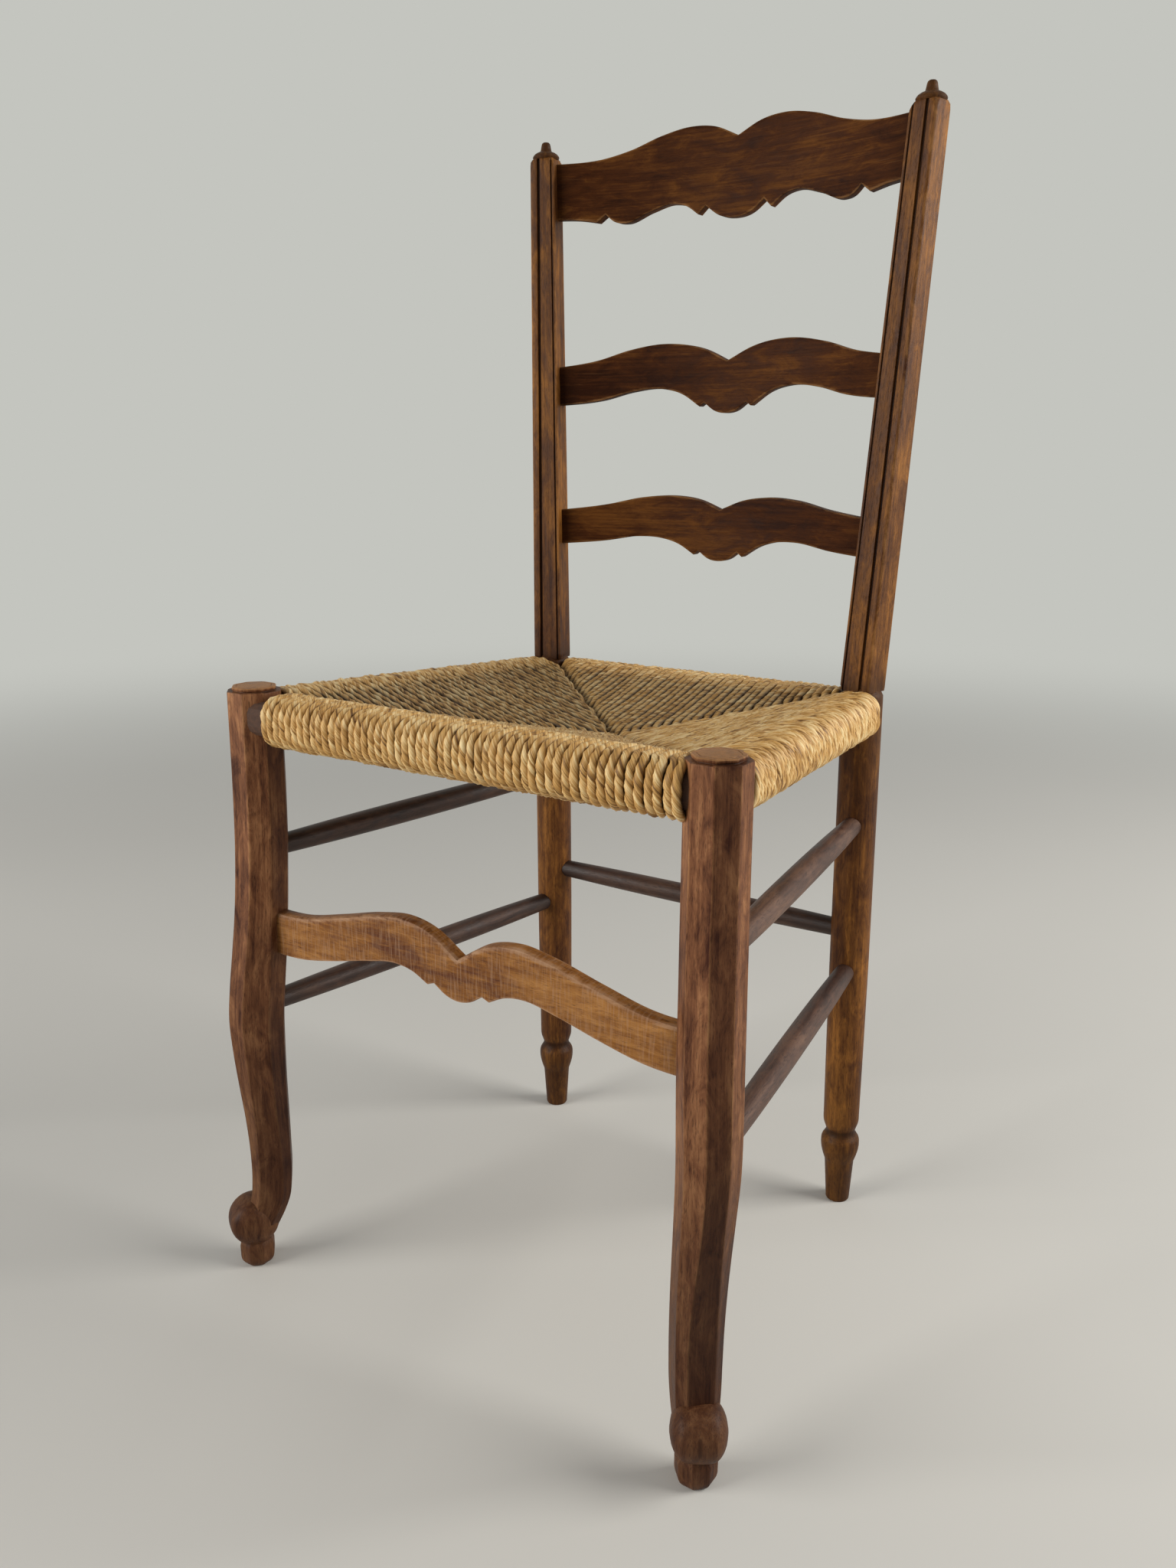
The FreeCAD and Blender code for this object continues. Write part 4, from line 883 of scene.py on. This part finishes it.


def rush_tubes(name, bay, pitch, lay, gap_shade_reach, seed):
    """Cords side by side over a rail. Each is a tube along the wrap line whose section is a
    bundle with flat lobes that turn once in a lay, and whose ends dip under the seam.

    The fifth argument says how far up a cord's sides the painted shade between the cords reaches
    on the top."""
    chance = np.random.default_rng(seed)
    count = int(round((bay.last - bay.first) / pitch))
    step = (bay.last - bay.first) / count
    places = bay.first + step * (np.arange(count) + 0.5 + chance.uniform(-0.06, 0.06, count))
    seams, at_front = bay.seam(places)
    radius = step / 2
    # The front bay lies over the side bays, and these over the back bay
    over = {"front": np.full(count, True), "back": np.full(count, False)}.get(name, ~at_front)
    turn = np.linspace(0, 2 * math.pi, CORD_SIDES, endpoint=False) + math.pi
    tubes = []
    for number, (place, seam, above) in enumerate(zip(places, seams, over)):
        # How far a cord runs past the seam, how deep its end sinks, and over what length
        past, sunk, slope = (2.6, 5.0, 6) if above else (1.0, 4.2, 12)
        rise = bay.start[2] + bay.run[2] * place
        line = bay.wrap(RUSH_LAYER / 2, rise)
        line = line[line[:, 0] <= seam + past]
        walk = np.concatenate([[0], np.cumsum(np.hypot(*np.diff(line, axis=0).T))])
        length = walk[-1]
        at = np.linspace(0, length, max(12, int(length / CORD_STEP)))
        t = np.interp(at, walk, line[:, 0])
        z = np.interp(at, walk, line[:, 1])
        tangent = np.stack([np.gradient(t, at), np.gradient(z, at)], -1)
        tangent /= np.linalg.norm(tangent, axis=-1, keepdims=True)
        normal = np.stack([tangent[:, 1], -tangent[:, 0]], -1)
        if normal[len(at) // 2, 0] > 0:
            normal = -normal
        own = seed * 1000 + number * 7
        lift, drift, swell, turned = (
            most * wobble(length, over_length, own + draw)(at) for draw, (most, over_length)
            in enumerate((CORD_LIFT, CORD_DRIFT, CORD_SWELL, TWIST_DRIFT)))
        ends = np.minimum(at, length - at)
        lift = lift - sunk * (1 - fade(ends, 0, slope))
        drift = drift * fade(ends, 0, 30)
        thick = radius * (1.0 + swell)
        t = t + normal[:, 0] * lift
        z = z + normal[:, 1] * lift
        if name == "front":
            # The last cords lean out round the leg's corner
            drift = drift + LEAN * fade(number, count - LEANING_CORDS, count) * fade(-t, 3, 12)
        centre = bay.start + (place + drift)[:, None] * bay.run + t[:, None] * bay.inward
        centre[:, 2] = rise + z
        phase = 2 * math.pi * at / lay + turned + chance.uniform(0, 6)
        # Three flat lobes, one of them a little larger
        twist = turn[None, :] - phase[:, None]
        lobes = 1.02 + 0.07 * np.cos(2 * twist) + 0.11 * np.cos(3 * twist + 1)
        ring_radius = thick[:, None] * lobes
        up = normal[:, :1] * bay.inward + normal[:, 1:] * [0, 0, 1]
        rings = (centre[:, None, :] + (ring_radius * np.cos(turn))[..., None] * up[:, None, :]
                 + (ring_radius * np.sin(turn))[..., None] * bay.run * [1, 1, 0])
        around = (turn - math.pi)[None, :] * radius - (phase * radius)[:, None]
        along = np.broadcast_to(at[:, None], around.shape)
        grain = np.stack([along, around, np.full(around.shape, float(own))], -1)
        # On the seat's top, painted shade reaches further up between the cords than round the rail
        deep = gap_shade_reach * fade(t, 4, 26)[:, None]
        gap = DARKEST * fade(deep - np.cos(turn)[None, :], -0.6, 0.12) + 0.25 * deep
        # Painted shade at each end, where the cord dips under the seam
        gap = gap + 0.35 * (1 - fade(ends, 0, 5))[:, None]
        tubes.append(Tube(rings, grain, 0.0, np.clip(gap, 0, DARKEST)))
    return tubes


def stuffing_tube(bay, seed):
    """Loose mass between the two layers of a bay: a lumpy closed form inside the cords."""
    least = 6.0
    places = np.linspace(bay.first, bay.last, 40)
    seams = bay.seam(places)[0]
    start = bay.half_width + 1.0
    keep = seams > start + least
    places, seams = places[keep], seams[keep]
    rings = []
    for place, seam in zip(places, seams):
        rise = bay.start[2] + bay.run[2] * place
        line = bay.wrap(-0.6, rise)
        half = len(line) // 2
        depth = np.linspace(start, seam - 2.0, 16)
        high, under = (np.interp(depth, *part[np.argsort(part[:, 0])].T)
                       for part in (line[:half][::-1], line[half:]))
        lump = 0.4 * wobble(400, 22, seed)(depth + place)
        high = high - 0.5 + lump * 0.5
        under = under + 0.5 - lump * 0.5
        both = np.concatenate([np.stack([depth, high], -1), np.stack([depth, under], -1)[::-1]])
        spot = bay.start + place * bay.run + both[:, :1] * bay.inward
        spot[:, 2] = rise + both[:, 1]
        rings.append(spot)
    rings = np.array(rings)
    return Tube(rings, rings.copy())


# Operators: one for each piece or group of like pieces

def wood_material(context, name, **changes):
    """Stained wood from the panel's colours, with this piece's own changes."""
    wood = context.scene.chair_wood
    values = dict(dark=tuple(wood.dark), body=tuple(wood.body), light=tuple(wood.light),
                  worn=tuple(wood.worn), wear=wood.wear)
    values.update(changes)
    return stained_wood(name, **values)


class CHAIR_OT_back_posts(bpy.types.Operator):
    """Two back posts: turned foot, moulded and grooved upper part, finial"""
    bl_idname = "chair.back_posts"
    bl_label = "Back posts"

    def execute(self, context):
        material = wood_material(context, "stained_post_wood", dark=linear("#3d1f0e"),
                                 body=linear("#673f1b"), light=linear("#9a652c"))
        place_pair("back_post", "turned", post_tubes(), [300, 90, 20], 0.0, material)
        return {"FINISHED"}


class CHAIR_OT_front_legs(bpy.types.Operator):
    """Two bowed octagonal front legs with barrel toes"""
    bl_idname = "chair.front_legs"
    bl_label = "Front legs"

    def execute(self, context):
        material = wood_material(context, "stained_leg_wood")
        place_pair("front_leg", "carved", leg_tubes(), [500, 130, 70], 0.0, material)
        return {"FINISHED"}


class CHAIR_OT_slats(bpy.types.Operator):
    """Crest, middle and lower slat of the back"""
    bl_idname = "chair.slats"
    bl_label = "Slats"

    def execute(self, context):
        material = wood_material(context, "stained_slat_wood", dark=linear("#2d1406"),
                                 body=linear("#45240d"), light=linear("#673e18"), wear=0.5,
                                 shine=0.04, pore=0.22)
        for name, shape, shift in (("crest_slat", CREST, [0, 700, 0]),
                                   ("middle_slat", MIDDLE, [90, 800, 30]),
                                   ("lower_slat", LOWER, [210, 900, 60])):
            place_piece(name + "_shaped", [slat_tube(shape, shift)], material, [name],
                        crease=28.0)
        return {"FINISHED"}


class CHAIR_OT_front_stretcher(bpy.types.Operator):
    """Shaped board between the front legs"""
    bl_idname = "chair.front_stretcher"
    bl_label = "Front stretcher"

    def execute(self, context):
        material = wood_material(context, "rubbed_board_wood", dark=linear("#5e331a"),
                                 body=linear("#8a5929"), light=linear("#ab773f"),
                                 worn=linear("#b08d70"), wear=0.8, saw=0.45)
        place_piece("front_stretcher_shaped", [front_board_tube()], material,
                    ["front_stretcher"], crease=28.0)
        return {"FINISHED"}


class CHAIR_OT_turned_stretchers(bpy.types.Operator):
    """Two turned stretchers on each side and one at the back"""
    bl_idname = "chair.turned_stretchers"
    bl_label = "Turned stretchers"

    def execute(self, context):
        material = wood_material(context, "stained_rod_wood", dark=linear("#2f1c15"),
                                 body=linear("#50362a"), light=linear("#6e503e"), shine=0.35)
        # Height of a side stretcher, and of the row of the leg's shape that it meets
        for name, z, row, shift in (("upper", 344.5, 324, [0, 1100, 0]),
                                    ("lower", 218.5, 212, [150, 1200, 0])):
            leg = LEG_ROWS[LEG_ROWS[:, 0] == row][0]
            tube = stretcher_tube((LEG_X + leg[1], -leg[2], z), post_axis(z)[0],
                                  STRETCHER_RADIUS, shift, 0.0)
            # The left pair, seen from the inside, is darker by painted shade
            place_pair("side_stretcher_" + name, "turned", [tube], [400, 60, 30], 0.3, material)
        post = post_axis(BACK_STRETCHER_Z)[0]
        # The back stretcher, under the seat, is darkened by painted shade
        tube = stretcher_tube(post * [-1, 1, 1], post, BACK_STRETCHER_RADIUS, [0, 1400, 0], 0.4)
        place_piece("back_stretcher_turned", [tube], material, ["back_stretcher"])
        return {"FINISHED"}


class CHAIR_OT_seat_rails(bpy.types.Operator):
    """Raw wood on the four rails that the rush hides, darkened by painted shade"""
    bl_idname = "chair.seat_rails"
    bl_label = "Seat rails"

    def execute(self, context):
        # Its colour is the painted shade of the gap beside the roll
        material = plain_matt("rail_wood_in_painted_shade", linear("#4b2d19"), 0.4, 3.0, 0.8)
        for side in ("front", "back", "left", "right"):
            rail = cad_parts["seat_rail_" + side]
            for slot in rail.material_slots:
                slot.material = material
        return {"FINISHED"}


class CHAIR_OT_rush_seat(bpy.types.Operator):
    """Rush cords of the four bays and the stuffing between their layers"""
    bl_idname = "chair.rush_seat"
    bl_label = "Rush seat"

    def execute(self, context):
        rush = context.scene.chair_rush
        # Its last colour is the painted shade between the cords
        cord = rush_cord("twisted_rush", tuple(rush.shade), tuple(rush.straw), tuple(rush.pale),
                         linear("#2c1d0b"))
        mass = plain_matt("loose_rush_stuffing", linear("#4d3d20"), 0.5, 4.0, 0.9)
        for seed, (side, bay) in enumerate(BAYS.items(), 3):
            lay = rush.lay * {"front": 1.0, "back": 0.8}.get(side, 1.7)
            # The right bay gets less painted shade between its cords than the others
            gap_shade_reach = 0.2 if side == "right" else 0.52
            cords = rush_tubes(side, bay, rush.pitch, lay, gap_shade_reach, seed)
            fill = stuffing_tube(bay, seed)
            placed = [(side, cords, fill)]
            if side == "right":
                # The left bay is the right one mirrored, with more painted shade in it
                cords = [tube.mirrored([40, 0, 31])
                         for tube in rush_tubes(side, bay, rush.pitch, lay, 0.55, seed)]
                for tube in cords:
                    tube.grime_and_shade = np.clip(tube.grime_and_shade + 0.12, 0, DARKEST)
                placed.append(("left", cords, fill.mirrored([0, 0, 0])))
            for place, cords, fill in placed:
                place_piece(f"rush_{place}_cords", cords, cord, ["rush_" + place], 80.0)
                inner = place_piece(f"stuffing_{place}_mass", [fill], mass,
                                    ["stuffing_" + place])
        return {"FINISHED"}


def seen_part(tree, behind, ahead, share=None):
    """Shows the second shader where the camera or a reflection looks, by a share if given, and
    leaves the first one to light the chair."""
    path = node(tree, "ShaderNodeLightPath")
    seen = node(tree, "ShaderNodeMath", {0: path.outputs["Is Camera Ray"],
                                         1: path.outputs["Is Glossy Ray"]}, operation="MAXIMUM")
    if share:
        seen = node(tree, "ShaderNodeMath", {0: share, 1: seen.outputs[0]}, operation="MULTIPLY")
    return node(tree, "ShaderNodeMixShader", {0: seen.outputs[0], 1: behind.outputs[0],
                                              2: ahead.outputs[0]})


class CHAIR_OT_studio(bpy.types.Operator):
    """Floor, pale surroundings, soft lamps and the camera at the photograph's view"""
    bl_idname = "chair.studio"
    bl_label = "Studio"

    def execute(self, context):
        scene = context.scene
        studio = scene.chair_studio
        side = 9.0
        pale = linear("#c4c5bf")
        mesh = bpy.data.meshes.new("studio_floor")
        mesh.from_pydata([(-side, -side, 0), (side, -side, 0), (side, side, 0), (-side, side, 0)],
                         [], [(0, 1, 2, 3)])
        floor = bpy.data.objects.new("studio_floor", mesh)
        scene.collection.objects.link(floor)
        material, tree = blank_material("pale_floor")
        place = node(tree, "ShaderNodeTexCoord").outputs["Object"]
        haze = node(tree, "ShaderNodeTexNoise", {"Vector": place, "Scale": 1.3, "Detail": 2.0})
        tone = node(tree, "ShaderNodeMix",
                    {0: haze.outputs[0], 6: tuple(studio.floor),
                     7: shaded(studio.floor, 0.93)}, data_type="RGBA")
        shader = node(tree, "ShaderNodeBsdfPrincipled",
                      {"Base Color": tone.outputs[2], "Roughness": 0.8})
        # Far off, what the camera sees of the floor passes into the pale surroundings
        away = node(tree, "ShaderNodeVectorMath", {0: place}, operation="LENGTH")
        far = node(tree, "ShaderNodeMapRange",
                   {"Value": away.outputs["Value"], "From Min": 1.0, "From Max": 3.6},
                   interpolation_type="SMOOTHERSTEP")
        air = node(tree, "ShaderNodeEmission", {"Color": pale, "Strength": 1.0})
        mixed = seen_part(tree, shader, air, far.outputs[0])
        node(tree, "ShaderNodeOutputMaterial", {"Surface": mixed.outputs[0]})
        mesh.materials.append(material)

        world = bpy.data.worlds.new("studio_air")
        world.use_nodes = True
        tree = world.node_tree
        tree.nodes.clear()
        soft = node(tree, "ShaderNodeBackground", {"Color": linear("#e4e6ea"), "Strength": 0.28})
        back = node(tree, "ShaderNodeBackground", {"Color": pale, "Strength": 1.0})
        mixed = seen_part(tree, soft, back)
        node(tree, "ShaderNodeOutputWorld", {"Surface": mixed.outputs[0]})
        scene.world = world

        # Window light from the left front, and the room's light from the right and behind
        for name, place, aim, size, power in (
                ("window_lamp", (-1.7, -2.3, 1.15), (0, 0, 0.5), 1.7, studio.key),
                ("room_lamp", (2.1, 1.0, 1.4), (0, 0, 0.5), 1.5, 0.95 * studio.key)):
            lamp = bpy.data.lights.new(name, "AREA")
            lamp.size = size
            lamp.energy = power
            lamp.color = (1.0, 0.98, 0.95)
            holder = bpy.data.objects.new(name, lamp)
            direction = np.array(aim) - np.array(place)
            level = math.hypot(direction[0], direction[1])
            holder.location = place
            holder.rotation_euler = (math.atan2(level, -direction[2]), 0,
                                     math.atan2(-direction[0], direction[1]))
            scene.collection.objects.link(holder)

        # Camera where the photograph was taken from, half a metre right of the chair's middle,
        # turned and tipped down towards the seat
        view = bpy.data.cameras.new("photo_camera")
        view.sensor_width = 36.0
        view.sensor_fit = "HORIZONTAL"
        view.lens = 38.63
        camera = bpy.data.objects.new("photo_camera", view)
        camera.location = (0.5188, (Y_SHIFT - 617.5) / 1000, 0.6354)
        camera.rotation_euler = (math.radians(90 - 14.8), 0, math.radians(34.0))
        scene.collection.objects.link(camera)
        scene.camera = camera
        scene.view_settings.view_transform = "Standard"
        return {"FINISHED"}


class CHAIR_PT_panel(bpy.types.Panel):
    """Buttons and settings for the chair"""
    bl_idname = "CHAIR_PT_panel"
    bl_label = "Ladderback chair"
    bl_space_type = "VIEW_3D"
    bl_region_type = "UI"
    bl_category = "Chair"

    def draw(self, context):
        for group in ("chair_wood", "chair_rush", "chair_studio"):
            settings = getattr(context.scene, group)
            for key in settings.bl_rna.properties.keys():
                if key not in ("rna_type", "name"):
                    self.layout.prop(settings, key)
        for operator in OPERATORS:
            self.layout.operator(operator.bl_idname)


OPERATORS = (CHAIR_OT_studio, CHAIR_OT_back_posts, CHAIR_OT_front_legs, CHAIR_OT_slats,
             CHAIR_OT_front_stretcher, CHAIR_OT_turned_stretchers, CHAIR_OT_seat_rails,
             CHAIR_OT_rush_seat)
SETTINGS = {"chair_wood": ChairWoodSettings, "chair_rush": ChairRushSettings,
            "chair_studio": ChairStudioSettings}


def register():
    for group in SETTINGS.values():
        bpy.utils.register_class(group)
    for operator in OPERATORS:
        bpy.utils.register_class(operator)
    bpy.utils.register_class(CHAIR_PT_panel)
    for name, group in SETTINGS.items():
        setattr(bpy.types.Scene, name, bpy.props.PointerProperty(type=group))


def unregister():
    for name in SETTINGS:
        delattr(bpy.types.Scene, name)
    bpy.utils.unregister_class(CHAIR_PT_panel)
    for operator in reversed(OPERATORS):
        bpy.utils.unregister_class(operator)
    for group in SETTINGS.values():
        bpy.utils.unregister_class(group)


def main():
    """Runs every operator in order."""
    register()
    for operator in OPERATORS:
        group, name = operator.bl_idname.split(".")
        getattr(getattr(bpy.ops, group), name)()


if __name__ == "__main__":
    main()
